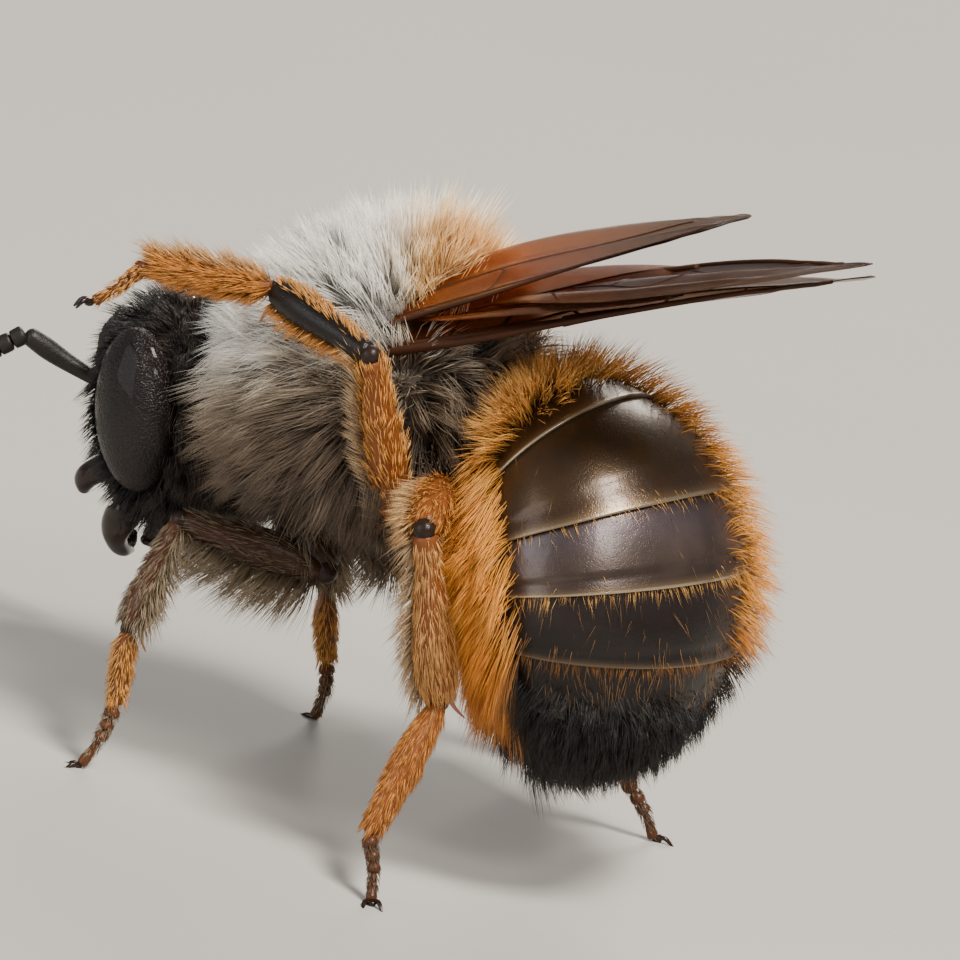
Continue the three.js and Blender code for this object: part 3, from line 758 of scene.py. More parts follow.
def wing_edges(name, t):
    """Distances of a wing's front and back edges from its line, at t."""
    if name == "hind_right":
        start = TUCK["chord"] - FORE_SHAPE["bow"] * np.sin(pi * t)
        own = (t - TUCK["start"]) / (TUCK["end"] - TUCK["start"])
        return start, start + HIND_SHAPE["tip"] + TUCK["share"] * chord(HIND_SHAPE, own.clip(0, 1))
    shape = HIND_SHAPE if name.startswith("hind") else FORE_SHAPE
    front = -shape["bow"] * np.sin(pi * t)
    return front, front + chord(shape, t)


def pleats(t, share):
    """The film dips between its veins, and is crimped at the edge beyond them."""
    dips = 0.035 * np.sin(share * 15 + 3 * t) * smooth(0, 0.2, t) * (1 - smooth(0.75, 1, t))
    return dips + 0.006 * np.sin(60 * t + 20 * share) * smooth(0.7, 0.9, t)


def on_wing(name, side, t, share, height=0.0):
    """Point at a share of the wing's own chord, from 0 at its front edge to 1 at its back edge."""
    t, share = np.broadcast_arrays(np.asarray(t, float), np.asarray(share, float))
    front, back = wing_edges(name, t)
    return wing_place(name, side, t, front + (back - front) * share, pleats(t, share) + height)


FILM_STEPS, FILM_BANDS = 90, 36  # along and across the film


def film_mesh(name, side, low, high):
    """A wing's film between two places along it, closed all round."""
    t, share = np.meshgrid(np.linspace(low, high, FILM_STEPS), np.linspace(0, 1, FILM_BANDS), indexing="ij")
    top, bottom = on_wing(name, side, t, share, FILM / 2), on_wing(name, side, t, share, -FILM / 2)
    points = np.concatenate([top.reshape(-1, 3), bottom.reshape(-1, 3)])
    under = FILM_STEPS * FILM_BANDS
    spot = np.arange(under).reshape(FILM_STEPS, FILM_BANDS)
    a, b, c, d = spot[:-1, :-1], spot[1:, :-1], spot[1:, 1:], spot[:-1, 1:]
    upper = np.concatenate([np.stack([a, b, c], -1).reshape(-1, 3), np.stack([a, c, d], -1).reshape(-1, 3)])
    rim = np.concatenate([spot[0, :-1], spot[:-1, -1], spot[-1, :0:-1], spot[:0:-1, 0]])
    after = np.roll(rim, -1)
    near_half = np.stack([rim, after, after + under], -1)
    walls = np.concatenate([near_half, np.stack([rim, after + under, rim + under], -1)])
    faces = np.concatenate([upper, upper[:, ::-1] + under, walls])
    return points, faces if side > 0 else faces[:, ::-1]


# Each vein as points of t and share of the chord, then its radii at the two ends.
FORE_VEINS = [
    ([(0.0, 0.04), (0.2, 0.01), (0.45, 0.01), (0.75, 0.01), (0.93, 0.06)], 0.085, 0.035),
    ([(0.0, 0.25), (0.2, 0.09), (0.4, 0.06), (0.52, 0.04)], 0.07, 0.045),
    ([(0.44, 0.04), (0.5, 0.055), (0.56, 0.04)], 0.1, 0.06),
    ([(0.56, 0.09), (0.66, 0.17), (0.78, 0.16), (0.86, 0.03)], 0.026, 0.02),
    ([(0.0, 0.45), (0.15, 0.27), (0.32, 0.22), (0.42, 0.3), (0.5, 0.3)], 0.04, 0.028),
    ([(0.42, 0.3), (0.46, 0.16), (0.51, 0.05)], 0.026, 0.024),
    ([(0.5, 0.3), (0.6, 0.33), (0.72, 0.34), (0.8, 0.3)], 0.026, 0.02),
    ([(0.6, 0.13), (0.59, 0.33)], 0.022, 0.022),
    ([(0.74, 0.165), (0.735, 0.34)], 0.022, 0.02),
    ([(0.3, 0.22), (0.31, 0.42), (0.36, 0.5), (0.5, 0.52), (0.62, 0.56), (0.66, 0.36)], 0.03, 0.02),
    ([(0.5, 0.3), (0.52, 0.52)], 0.022, 0.022),
    ([(0.0, 0.7), (0.15, 0.6), (0.3, 0.66), (0.45, 0.8), (0.55, 0.95)], 0.036, 0.02),
    ([(0.2, 0.26), (0.22, 0.62)], 0.024, 0.024),
    ([(0.36, 0.5), (0.4, 0.75)], 0.022, 0.02),
]
HIND_VEINS = [
    ([(0.0, 0.06), (0.3, 0.01), (0.6, 0.02), (0.8, 0.06)], 0.045, 0.02),
    ([(0.0, 0.3), (0.25, 0.14), (0.5, 0.12), (0.75, 0.2), (0.92, 0.26)], 0.036, 0.018),
    ([(0.28, 0.14), (0.32, 0.42), (0.3, 0.5)], 0.024, 0.022),
    ([(0.0, 0.6), (0.2, 0.5), (0.4, 0.52), (0.6, 0.62), (0.8, 0.72)], 0.03, 0.018),
]
VEIN_PIECES, VEIN_SIDES = 24, 8  # along and round a vein
VEIN_FLAT = 0.75  # its height beside its width


def vein_mesh(name, side, line, start, stop, low, high):
    """A slightly flat tube along a vein, half sunk in the film."""
    run = spline(line, np.linspace(0, len(line) - 1, VEIN_PIECES))
    t, share = low + (high - low) * run[:, 0], run[:, 1].clip(0.005, 0.995)
    middle = on_wing(name, side, t, share)
    over = unit(on_wing(name, side, t, share, 0.1) - middle)
    across = np.cross(unit(np.gradient(middle, axis=0)), over)
    turn = 2 * pi * np.arange(VEIN_SIDES) / VEIN_SIDES
    radius = np.linspace(start, stop, VEIN_PIECES)[:, None, None]
    rim = over[:, None] * np.cos(turn)[:, None] * VEIN_FLAT + across[:, None] * np.sin(turn)[:, None]
    return loft(middle[:, None] + rim * radius, middle[0], middle[-1])


# Light that passes a film is tinted twice, so the colours are paler than the wing looks.
AMBER, SMOKE, EDGE_VEIN_AND_SHADE = (0.34, 0.082, 0.011), (0.105, 0.046, 0.020), (0.022, 0.007, 0.003)
film_finish, tree, shader = new_finish("amber_film", Transmission_Weight=0.7, IOR=1.25)
place = node(tree, "TexCoord").outputs["Object"]
cloud = node(tree, "TexNoise", Vector=place, Scale=700.0, Detail=4.0)
fine = node(tree, "TexNoise", Vector=place, Scale=16000.0, Detail=2.0)
outer = node(tree, "Math", {"operation": "MULTIPLY_ADD", "use_clamp": True}, i0=cloud.outputs[0], i1=0.5,
             i2=mark(tree, "outer"))
tone = mixed(tree, outer.outputs[0], AMBER, SMOKE)
# The film darkens along its front edge, where the veins crowd and painted shade lies, and a little towards
# the tip.
tree.links.new(mixed(tree, mark(tree, "rim"), tone, EDGE_VEIN_AND_SHADE), shader.inputs["Base Color"])
clear = node(tree, "MapRange", Value=mark(tree, "rim"), i3=0.8, i4=0.98)
tree.links.new(clear.outputs[0], shader.inputs["Alpha"])
satin = node(tree, "MapRange", Value=fine.outputs[0], i3=0.1, i4=0.3)
tree.links.new(satin.outputs[0], shader.inputs["Roughness"])
crimp = node(tree, "Bump", Strength=0.2, Distance=0.00001, Height=fine.outputs[0])
tree.links.new(crimp.outputs["Normal"], shader.inputs["Normal"])


def vein_brown(tree, mottle):
    return mixed(tree, mottle, (0.014, 0.006, 0.003), (0.07, 0.023, 0.008))


vein_finish = chitin_finish("vein_chitin", vein_brown, pits=24000.0, depth=0.3, gloss=0.42, bump=0.15,
                            Specular_IOR_Level=0.15)
for name in WING_LINES:
    side = SIDES[name.split("_")[1]]
    low, high = (TUCK["start"], TUCK["end"]) if name == "hind_right" else (0.0, 1.0)
    points, faces = film_mesh(name, side, low, high)
    share = np.tile(np.linspace(0, 1, FILM_BANDS), 2 * FILM_STEPS)
    t = np.tile(np.repeat(np.linspace(0, 1, FILM_STEPS), FILM_BANDS), 2)
    # Dark front edge, partly dense veins and partly painted shade, and a slightly darker tip.
    rim = 0.9 * smooth(0.17, 0.05, share) * smooth(0.0, 0.1, t) + 0.2 * smooth(0.75, 1.0, t)
    outer = smooth(0.25, 0.8, t) - 0.25
    piece(f"wing_{name}", points, faces, film_finish, "wing_membrane", [f"wing_{name}"], rim=rim, outer=outer)
    lines = HIND_VEINS if name.startswith("hind") else FORE_VEINS
    veins = [vein_mesh(name, side, line, start, stop, low, high) for line, start, stop in lines]
    points, faces, _ = joined(veins)
    piece(f"wing_{name}_veins", points, faces, vein_finish, "wing_membrane")

# A smooth black scale, the tegula, covers the hinge of each pair of wings.
TEGULA_HALF, TEGULA_MIDDLE = (0.32, 0.42, 0.22), at(-0.15, 1.72, 0.05)
for side_name, side in SIDES.items():
    middle = mirrored([TEGULA_MIDDLE], side)[0]
    points, faces = shell(egg(TEGULA_HALF, middle, full=0.9), 26, 30)
    piece(f"tegula_{side_name}", points, faces, jaw_finish, "leg_shell", [f"tegula_{side_name}"])

# ---------- Coat of the trunk ----------
# Long soft branched hairs, thick as felt, stand almost straight out from the thorax in locks.
# They are white on the back, tawny behind the wings and grey-brown down the flanks.
HAIR_TAPER = {3: (1.0, 0.9, 0.6), 2: (1.0, 0.75)}  # thickness at each ring of a hair, from its root
HAIR_SIDES = 3
PATCH = 0.003  # across one hair on the coat's map
ROOT_DEPTH = 0.04  # how deep long hairs are rooted
LEAST_RISE = 0.15  # no hair leans nearer to the skin than this
# Spread of chance from lock to lock and from hair to hair.
LOCK_LENGTH, OWN_LENGTH = (0.8, 1.1), (0.64, 1.12)
LOCK_GATHER, OWN_GATHER = (0.5, 1.25), (0.7, 1.1)
OWN_THICKNESS, OWN_CURVE = (0.75, 1.25), 0.06
DRIFT_WAVES, DRIFT_SIZE, DRIFT_SWING = 6, 1.3, 0.4


def outward(surface, around, along):
    """Direction straight out of a surface."""
    step = 0.002
    here = np.clip(along, 0.01, 0.99)
    turned = surface(around + step, here) - surface(around - step, here)
    passed = surface(around, here + step) - surface(around, here - step)
    return unit(np.cross(turned, passed))


def scatter(surface, count, where, rng, cells=160):
    """Places on a surface, thicker where `where` of their points is higher."""
    share = (np.arange(cells) + 0.5) / cells
    around, along = np.meshgrid(share, share)
    step = 0.5 / cells
    turned = surface(around + step, along) - surface(around - step, along)
    passed = surface(around, along + step) - surface(around, along - step)
    weight = np.linalg.norm(np.cross(turned, passed), axis=-1)
    weight = weight * np.clip(where(surface(around, along), around, along), 0, None)
    chosen = rng.choice(weight.size, count, p=(weight / weight.sum()).ravel())
    shift = rng.uniform(-0.5, 0.5, (2, count)) / cells
    return around.ravel()[chosen] + shift[0], (along.ravel()[chosen] + shift[1]).clip(0.002, 0.998)


def drift(points, rng):
    """A slow swing of direction over the body, so that neighbouring hairs lean alike."""
    swing = np.zeros_like(points)
    for _ in range(DRIFT_WAVES):
        wave = rng.normal(0, pi / DRIFT_SIZE, 3)
        swing += np.sin(points @ wave + rng.uniform(0, 2 * pi))[:, None] * rng.normal(0, DRIFT_SWING, 3)
    return swing


def nearest(roots, leaders):
    """For each root, the number of the nearest leader."""
    tree = KDTree(len(leaders))
    for i, spot in enumerate(leaders):
        tree.insert(spot, i)
    tree.balance()
    return np.array([tree.find(spot)[1] for spot in roots])


def tufts(surface, count, length, lie, seed, where, zone, lift, bend, sag, thick, spread, gather, lock,
          sway=0.2, rings=3, depth=ROOT_DEPTH, tile=(0, 0, 1, 1)):
    """Hairs on a surface as thin solid tapers of `rings` rings and a tip. About `lock` hairs share
    a lock: they lean alike and their tips gather. `length`, `lift` and `zone` may be functions of
    the roots. `lie` gives the way that the hairs are combed, and `where` how thick they grow."""
    rng = np.random.default_rng(seed)
    around, along = scatter(surface, count, where, rng)
    root, normal = surface(around, along), outward(surface, around, along)
    combed = np.broadcast_to(lie(root, normal), root.shape)
    combed = combed - normal * (combed * normal).sum(-1, keepdims=True)
    combed = combed / np.maximum(np.linalg.norm(combed, axis=-1, keepdims=True), 1)
    leaders = rng.choice(count, max(count // lock, 1), replace=False)
    mine = nearest(root, root[leaders])
    lock_lean = rng.normal(0, spread, (len(leaders), 3))[mine]
    own_lean = rng.normal(0, 0.5 * spread, (count, 3))
    lifted = lift(root, around, along)[:, None] if callable(lift) else lift
    way = normal * lifted + combed * (1 - lifted) + lock_lean + own_lean + sway * drift(root, rng)
    way = unit(way + normal * np.clip(LEAST_RISE - (unit(way) * normal).sum(-1, keepdims=True), 0, None))
    long = length(root, around, along) if callable(length) else np.full(count, length, float)
    long = long * rng.uniform(*LOCK_LENGTH, len(leaders))[mine] * rng.uniform(*OWN_LENGTH, count)
    levels = np.linspace(0, 1, rings + 1)[None, :, None]
    curve = combed * bend + np.array([0, 0, -sag]) + rng.normal(0, OWN_CURVE, (count, 3))
    path = root[:, None] - normal[:, None] * depth
    path = path + (way[:, None] * levels + curve[:, None] * levels**2) * long[:, None, None]
    tight = gather * rng.uniform(*LOCK_GATHER, len(leaders))[mine] * rng.uniform(*OWN_GATHER, count)
    pull = tight[:, None, None] * levels**1.5
    path = path * (1 - pull) + path[leaders[mine]] * pull
    first = unit(np.cross(path[:, 1] - path[:, 0], rng.normal(0, 1, (count, 3))))
    second = unit(np.cross(path[:, 1] - path[:, 0], first))
    turn = 2 * pi * np.arange(HAIR_SIDES) / HAIR_SIDES
    rim = first[:, None, None] * np.cos(turn)[:, None] + second[:, None, None] * np.sin(turn)[:, None]
    taper = np.array(HAIR_TAPER[rings])[None, :, None, None]
    radius = 0.5 * thick * rng.uniform(*OWN_THICKNESS, (count, 1, 1, 1)) * taper
    tube = path[:, :rings, None] + rim * radius
    points = np.concatenate([tube.reshape(count, HAIR_SIDES * rings, 3), path[:, rings:]], 1)
    low_u, low_v, wide, high = tile
    base_u = low_u + wide * (around % 1).clip(0.004, 0.99)
    base = np.stack([base_u, low_v + high * along.clip(0.004, 0.99)], -1)
    spot = [[k, level] for level in range(rings) for k in range(HAIR_SIDES)] + [[1, rings]]
    spot = np.array(spot) * PATCH / rings
    held_zone = zone(root, around, along) if callable(zone) else np.full(count, zone)
    tone = 0.5 * rng.uniform(0, 1, len(leaders))[mine] + 0.5 * rng.uniform(0, 1, count)
    per_hair = HAIR_SIDES * rings + 1
    return {
        "points": points.reshape(-1, 3),
        "faces": hair_faces(count, rings),
        "map": (base[:, None] + spot).reshape(-1, 2),
        "zone": np.repeat(held_zone, per_hair),
        "tone": np.repeat(tone, per_hair),
        "tip": np.tile(np.append(np.repeat(levels[0, :-1, 0], HAIR_SIDES), 1.0), count),
    }


def hair_faces(count, rings):
    """The faces of one hair, closed at its root and pointed at its tip, for each of them."""
    sides = HAIR_SIDES
    one = [[0, 2, 1]]
    top = sides * (rings - 1)
    for level in range(0, top, sides):
        for k in range(sides):
            a, b = level + k, level + (k + 1) % sides
            one += [[a, b, b + sides], [a, b + sides, a + sides]]
    one += [[top + k, top + (k + 1) % sides, top + sides] for k in range(sides)]
    starts = (sides * rings + 1) * np.arange(count)[:, None, None]
    return (np.array(one)[None] + starts).reshape(-1, 3)


def coat(name, lots, material, slot):
    """One coat piece from several lots of hairs, with its own map."""
    points, faces, _ = joined([(lot["points"], lot["faces"]) for lot in lots])
    held = {key: np.concatenate([lot[key] for lot in lots]) for key in ("map", "zone", "tone", "tip")}
    spots = held.pop("map")
    made = piece(name, points, faces, material, slot, **held)
    bake_map = made.data.uv_layers.new(name="OFBake")
    bake_map.data.foreach_set("uv", spots[faces.ravel()].astype(np.float32).ravel())


def hair_shades():
    """Painted shade darkens hairs at the root, painted light brightens the tip, and hairs differ a little."""
    tree, given, out = shader_group(
        "hair_shades",
        [("Color", "NodeSocketColor", (0.5, 0.5, 0.5, 1)), ("Root", "NodeSocketFloat", 0.45),
         ("Tip", "NodeSocketFloat", 1.25), ("Spread", "NodeSocketFloat", 0.5)],
        [("Color", "NodeSocketColor")],
    )
    rise = node(tree, "MapRange", Value=mark(tree, "tip"), i1=0.0, i2=0.8, i3=given.outputs["Root"],
                i4=given.outputs["Tip"])
    vary = node(tree, "Math", {"operation": "SUBTRACT"}, i0=mark(tree, "tone"), i1=0.5)
    swing = node(tree, "Math", {"operation": "MULTIPLY_ADD"}, i0=vary.outputs[0], i1=given.outputs["Spread"],
                 i2=1.0)
    level = node(tree, "Math", {"operation": "MULTIPLY"}, i0=rise.outputs[0], i1=swing.outputs[0])
    shaded = node(tree, "VectorMath", {"operation": "SCALE"}, i0=given.outputs["Color"],
                  Scale=level.outputs[0])
    tree.links.new(shaded.outputs[0], out.inputs["Color"])
    return tree


HAIR_SHADES = hair_shades()


def hair_finish(name, colours, root, tip, spread):
    """A coat's material: its colour runs along the ramp by each hair's zone."""
    made, tree, shader = new_finish(name)
    base = ramp(tree, mark(tree, "zone"), colours)
    shaded = use_group(tree, HAIR_SHADES, Color=base, Root=root, Tip=tip, Spread=spread)
    tree.links.new(shaded.outputs["Color"], shader.inputs["Base Color"])
    sheen = node(tree, "MapRange", Value=mark(tree, "tone"), i3=0.35, i4=0.55)
    tree.links.new(sheen.outputs[0], shader.inputs["Roughness"])
    return made


BACKWARD, DOWNWARD = np.array([0, 1.0, 0]), np.array([0, 0, -1.0])
BACK_BLEND = (-0.3, 0.0)  # the heights between which the flanks' fur passes into the back's
MIDDLE_BLEND = (-0.02, 0.02)  # the left and right pieces of a coat pass into each other here


def fur_zone(root, around, along):
    return trunk_zone(root)


def back_length(root, around, along):
    """Longest in a crest over the rear of the back, and short low down behind the wings."""
    left, back, up = root.T
    crest = 0.32 * smooth(-0.5, 0.4, back) * smooth(1.0, 0.4, np.abs(left)) * smooth(0.3, 0.7, up)
    behind = smooth(0.3, 1.2, back) * smooth(0.5, 1.1, np.abs(left) + 0.5 * (0.9 - up))
    return 0.84 + crest - 0.42 * behind - 0.12 * smooth(-1.4, -2.0, back)


def back_lift(root, around, along):
    return 0.5 + 0.34 * smooth(-0.2, 0.5, root[:, 2])


def flank_length(root, around, along):
    left, back, up = root.T
    return 0.95 - 0.35 * smooth(-1.9, -2.5, up) - 0.25 * smooth(-1.4, -2.0, back)


def back_lie(root, normal):
    """Back hairs lean outwards from the middle of the back, and lie down over the neck in front.
    Behind, they stand up in a crest."""
    fan = (root - at(0.4, 0, 0)) * np.array([1, 0.8, 0])
    back = root[:, 1:2]
    return fan + DOWNWARD * 1.3 * smooth(-0.9, -1.7, back) - BACKWARD * 0.5 * smooth(0.4, 1.0, back)


def flank_lie(root, normal):
    """Flank hairs fan out forwards and down from behind the wing roots."""
    away = (root - at(1.1, 0, -0.85)) * np.array([0, 1, 1])
    return 2.4 * away + DOWNWARD * (0.35 + 2.0 * smooth(-1.1, -1.8, root[:, 1:2]))


def back_where(points, around, along):
    here = smooth(*BACK_BLEND, points[..., 2])
    return here * furry_share(points, 1) * furry_share(points, -1)


def flank_where(side):
    def share(points, around, along):
        left, up = points[..., 0], points[..., 2]
        here = smooth(*MIDDLE_BLEND, left * side) * (1 - smooth(*BACK_BLEND, up))
        return here * furry_share(points, side) * (0.6 + 0.4 * smooth(-2.4, -1.7, up))

    return share


# Root and tip set how strong the painted shade at each hair's root and the painted light at its tip are.
back_finish = hair_finish("white_fur", TRUNK_COLOURS, root=0.6, tip=1.1, spread=0.35)
flank_finish = hair_finish("grey_fur", TRUNK_COLOURS, root=0.18, tip=1.3, spread=1.0)
back_hairs = tufts(trunk, 11500, back_length, back_lie, seed=10, where=back_where, zone=fur_zone,
                   lift=back_lift, bend=0.12, sag=0.0, thick=0.015, spread=0.12, gather=0.45, lock=16)
coat("coat_back", [back_hairs], back_finish, "pale_fur")
for side_name, side in SIDES.items():
    hairs = tufts(trunk, 11000, flank_length, flank_lie, seed=11 + side, where=flank_where(side),
                  zone=fur_zone, lift=0.5, bend=0.22, sag=0.12, thick=0.013, spread=0.2, gather=0.72,
                  lock=20, sway=0.25)
    coat(f"coat_flank_{side_name}", [hairs], flank_finish, "pale_fur")

# ---------- Coat of the abdomen ----------
# Golden hair stands thick on the front of the first ring, in a thinner crest down the right of the
# back, and sparsely on the shining discs. The last rings are black-haired, and a long dense orange
# brush for pollen covers the sides and the underside.
ABDOMEN_COLOURS = {0.0: (0.84, 0.46, 0.13), 0.2: (0.76, 0.33, 0.05), 0.45: (0.60, 0.20, 0.018),
                   0.62: (0.26, 0.12, 0.035), 0.75: (0.022, 0.014, 0.010), 1.0: (0.007, 0.006, 0.006)}
BRUSH_EDGE = (radians(87), radians(107))  # where the brush begins, from the middle of the back
# The crest stands on the right only, between these turns from the middle of the back.
CREST_START, CREST_END = (radians(2), radians(30)), (radians(92), radians(60))
CREST_SHARE = 0.42  # how thick it is beside the fur in front


def flank(around):
    """Turn from the middle of the back, 0 to pi, on either side."""
    return 2 * pi * np.minimum(around % 1, 1 - around % 1)


def belly_zone(root, around, along):
    """Place in the abdomen's colours, separately above and below the brush's edge."""
    place = 6 * along
    upper = 0.03 + 0.2 * smooth(0.4, 1.4, place) + 0.72 * smooth(3.3, 4.3, place)
    under = 0.3 + 0.2 * smooth(2.5, 4.5, place) + 0.45 * smooth(4.7, 5.3, place)
    below = smooth(*BRUSH_EDGE, flank(around))
    return upper * (1 - below) + under * below


def tailward(root, normal):
    """Along the abdomen towards its tip, which curls down and under."""
    knots = spline(BELLY_LINE, np.linspace(0, 6, 61))
    spot = nearest(root, knots)
    return unit(np.gradient(knots, axis=0))[spot]


def brush_lie(root, normal):
    return tailward(root, normal) * 1.2 + DOWNWARD * 0.4


def upper_length(root, around, along):
    place = 6 * along
    return 0.72 - 0.18 * smooth(0.8, 1.6, place) - 0.12 * smooth(3.6, 4.4, place)


def brush_length(root, around, along):
    place = 6 * along
    return 0.88 - 0.18 * smooth(4.2, 5.2, place) - 0.2 * smooth(0.8, 0.3, place)


def upper_where(side):
    """Thick in front, in a crest down the right of the back and at the tail, bare on the discs."""

    def share(points, around, along):
        place, turn = 6 * along, flank(around)
        front = 1 - smooth(0.58, 1.0, place)
        tail = smooth(4.1, 4.8, place)
        crest = CREST_SHARE * smooth(*CREST_START, turn) * smooth(*CREST_END, turn) * (side < 0)
        above = 1 - smooth(*BRUSH_EDGE, turn)
        here = smooth(*MIDDLE_BLEND, np.sin(2 * pi * around) * side)
        return here * above * np.maximum(np.maximum(front, tail), crest) * smooth(0.12, 0.3, place)

    return share


def disc_where(points, around, along):
    """A few hairs all over the discs, more towards the tail."""
    place = 6 * along
    on_disc = smooth(0.7, 1.0, place) * smooth(4.6, 4.2, place) * (1 - smooth(*BRUSH_EDGE, flank(around)))
    return on_disc * (0.12 + smooth(2.5, 4.0, place))


def brush_where(side):
    def share(points, around, along):
        place = 6 * along
        here = smooth(*MIDDLE_BLEND, np.sin(2 * pi * around) * side)
        return here * smooth(*BRUSH_EDGE, flank(around)) * smooth(0.15, 0.5, place)

    return share


gold_finish = hair_finish("golden_fur", ABDOMEN_COLOURS, root=0.5, tip=1.25, spread=0.7)
for side_name, side in SIDES.items():
    hairs = tufts(belly, 5200, upper_length, tailward, seed=20 + side, where=upper_where(side),
                  zone=belly_zone, lift=0.72, bend=0.22, sag=0.05, thick=0.0115, spread=0.17, gather=0.3,
                  lock=9, tile=(0, 0, 0.99, 0.99))
    coat(f"coat_abdomen_{side_name}", [hairs], gold_finish, "bronze_shell")
    hairs = tufts(belly, 9000, brush_length, brush_lie, seed=23 + side, where=brush_where(side),
                  zone=belly_zone, lift=0.42, bend=0.25, sag=0.1, thick=0.014, spread=0.13, gather=0.5,
                  lock=16)
    coat(f"coat_brush_{side_name}", [hairs], gold_finish, "bronze_shell")

# Fine sparse hairs stand on the discs, and pale ones lie back from the rear edges of the rings.
FRINGES = {2.25: (0.05, 220), 3.05: (0.0, 520), 3.9: (0.56, 520)}  # a ring's end: colour zone, hairs
DISC_ZONE = 0.62


def fringe_where(ring_end):
    def share(points, around, along):
        return groove(6 * along - ring_end + 0.1, 1, 0.07) * (1 - smooth(*BRUSH_EDGE, flank(around)))

    return share


fringes = [
    tufts(belly, count, 0.28, tailward, seed=40 + i, where=fringe_where(ring_end), zone=zone, lift=0.16,
          bend=0.1, sag=0.0, thick=0.0075, spread=0.12, gather=0.3, lock=4, rings=2)
    for i, (ring_end, (zone, count)) in enumerate(FRINGES.items())
]
disc_hairs = tufts(belly, 560, 0.4, tailward, seed=45, where=disc_where, zone=DISC_ZONE, lift=0.24,
                   bend=0.1, sag=0.0, thick=0.0065, spread=0.14, gather=0.2, lock=3, rings=2)
coat("coat_discs", [*fringes, disc_hairs], gold_finish, "bronze_shell")

# ---------- Coat of the head ----------
# Dense black-brown hair, shorter than on the trunk, covers brow, crown and cheeks. It is palest
# on the nape and thinnest on the shining face plate.
HEAD_COLOURS = {0.0: (0.012, 0.009, 0.008), 0.5: (0.04, 0.028, 0.02), 1.0: (0.14, 0.10, 0.065)}


def head_zone(root, around, along):
    return smooth(-3.3, -2.4, root[:, 1]) * 0.6


def head_length(root, around, along):
    return 0.46 - 0.18 * smooth(-3.6, -4.2, root[:, 1])


def head_where(points, around, along):
    """Bare on and round the eyes and on the nape, and thin on the face plate."""
    on_left = np.abs(points) * (1, 0, 0) + points * (0, 1, 1)
    by_eye = hump(on_left, EYE_MIDDLE, (0.55, 0.72, 1.15))
    on_nape = hump(points, NAPE, (1.0, 0.5, 0.9))
    on_plate = 0.6 * hump(points, FACE_PLATE, (0.6, 0.6, 0.45))
    return (1 - smooth(0.15, 0.4, by_eye)) * (1 - on_nape) * (1 - on_plate)


def head_lie(root, normal):
    return DOWNWARD * 0.8 - BACKWARD * 0.7


head_coat_finish = hair_finish("black_fur", HEAD_COLOURS, root=0.6, tip=1.3, spread=0.9)
hairs = tufts(head, 12500, head_length, head_lie, seed=31, where=head_where, zone=head_zone,
              lift=0.7, bend=0.2, sag=0.08, thick=0.012, spread=0.17, gather=0.5, lock=14, rings=2)
coat("coat_head", [hairs], head_coat_finish, "dark_fur")

# ---------- Coat of the legs ----------
# Stiff short hair points down every joint. The thighs carry grey and tan fringes, and the shins
# and first foot joints carry dense orange brushes for grooming.
LEG_COLOURS = {0.0: (0.02, 0.014, 0.01), 0.25: (0.12, 0.085, 0.05), 0.5: (0.42, 0.32, 0.20),
               0.75: (0.68, 0.32, 0.07), 1.0: (0.5, 0.16, 0.02)}
UP, DOWN, AHEAD, BEHIND = (0, 0, 1), (0, 0, -1), (0, -1, 0), (0, 1, 0)
# Lots of hair on each leg: segment, number, length, lift, colour zone, and the side of the segment
# that it grows on, or None for all round.
LEG_HAIR = {
    "front": [("hip", 500, 0.4, 0.5, 0.3, None),
              ("femur", 800, 0.22, 0.3, 0.25, None), ("femur", 1000, 0.75, 0.8, 0.32, DOWN),
              ("tibia", 1000, 0.18, 0.3, 0.35, None), ("tibia", 400, 0.32, 0.6, 0.45, BEHIND),
              ("basitarsus", 650, 0.16, 0.35, 0.75, None), ("foot", 250, 0.09, 0.35, 0.35, None)],
    "middle": [("hip", 400, 0.4, 0.5, 0.35, None),
               ("femur", 1200, 0.22, 0.3, 0.55, None), ("femur", 500, 0.45, 0.7, 0.45, DOWN),
               ("tibia", 1200, 0.2, 0.2, 0.7, None), ("basitarsus", 1200, 0.22, 0.3, 0.85, None),
               ("foot", 250, 0.09, 0.35, 0.4, None)],
    "raised": [("hip", 400, 0.4, 0.5, 0.35, None),
               ("femur", 1000, 0.26, 0.22, 0.78, None), ("femur", 750, 0.38, 0.6, 0.56, AHEAD),
               ("tibia", 220, 0.09, 0.3, 0.0, None), ("tibia", 400, 0.16, 0.5, 0.8, UP),
               ("tibia", 650, 0.26, 0.75, 0.85, DOWN), ("basitarsus", 2800, 0.26, 0.4, 0.88, None),
               ("basitarsus", 600, 0.38, 0.55, 0.62, UP), ("foot", 300, 0.11, 0.35, 0.75, None)],
    "hind": [("hip", 400, 0.4, 0.5, 0.4, None),
             ("femur", 1000, 0.22, 0.3, 0.85, None), ("femur", 700, 0.42, 0.6, 0.62, AHEAD),
             ("tibia", 1700, 0.22, 0.17, 0.7, None), ("tibia", 1100, 0.45, 0.5, 0.56, AHEAD),
             ("basitarsus", 1500, 0.2, 0.2, 0.9, None), ("foot", 250, 0.09, 0.35, 0.25, None)],
}
LEG_ROOT_DEPTH = 0.012
LOT_TILE = 0.11  # each lot of a leg's hairs has its own strip of the map, this wide


def grown_on(towards, side):
    """Hair keeps off the rounded ends of a segment, and grows thickest on the side given."""

    def share(points, around, along):
        on_shaft = smooth(0.02, 0.08, along) * smooth(0.98, 0.92, along)
        if towards is None:
            return on_shaft
        middle = points.mean(axis=1, keepdims=True)
        facing = (unit(points - middle) * np.array(towards) * (side, 1, 1)).sum(-1)
        return on_shaft * smooth(0.55, 0.95, facing)

    return share


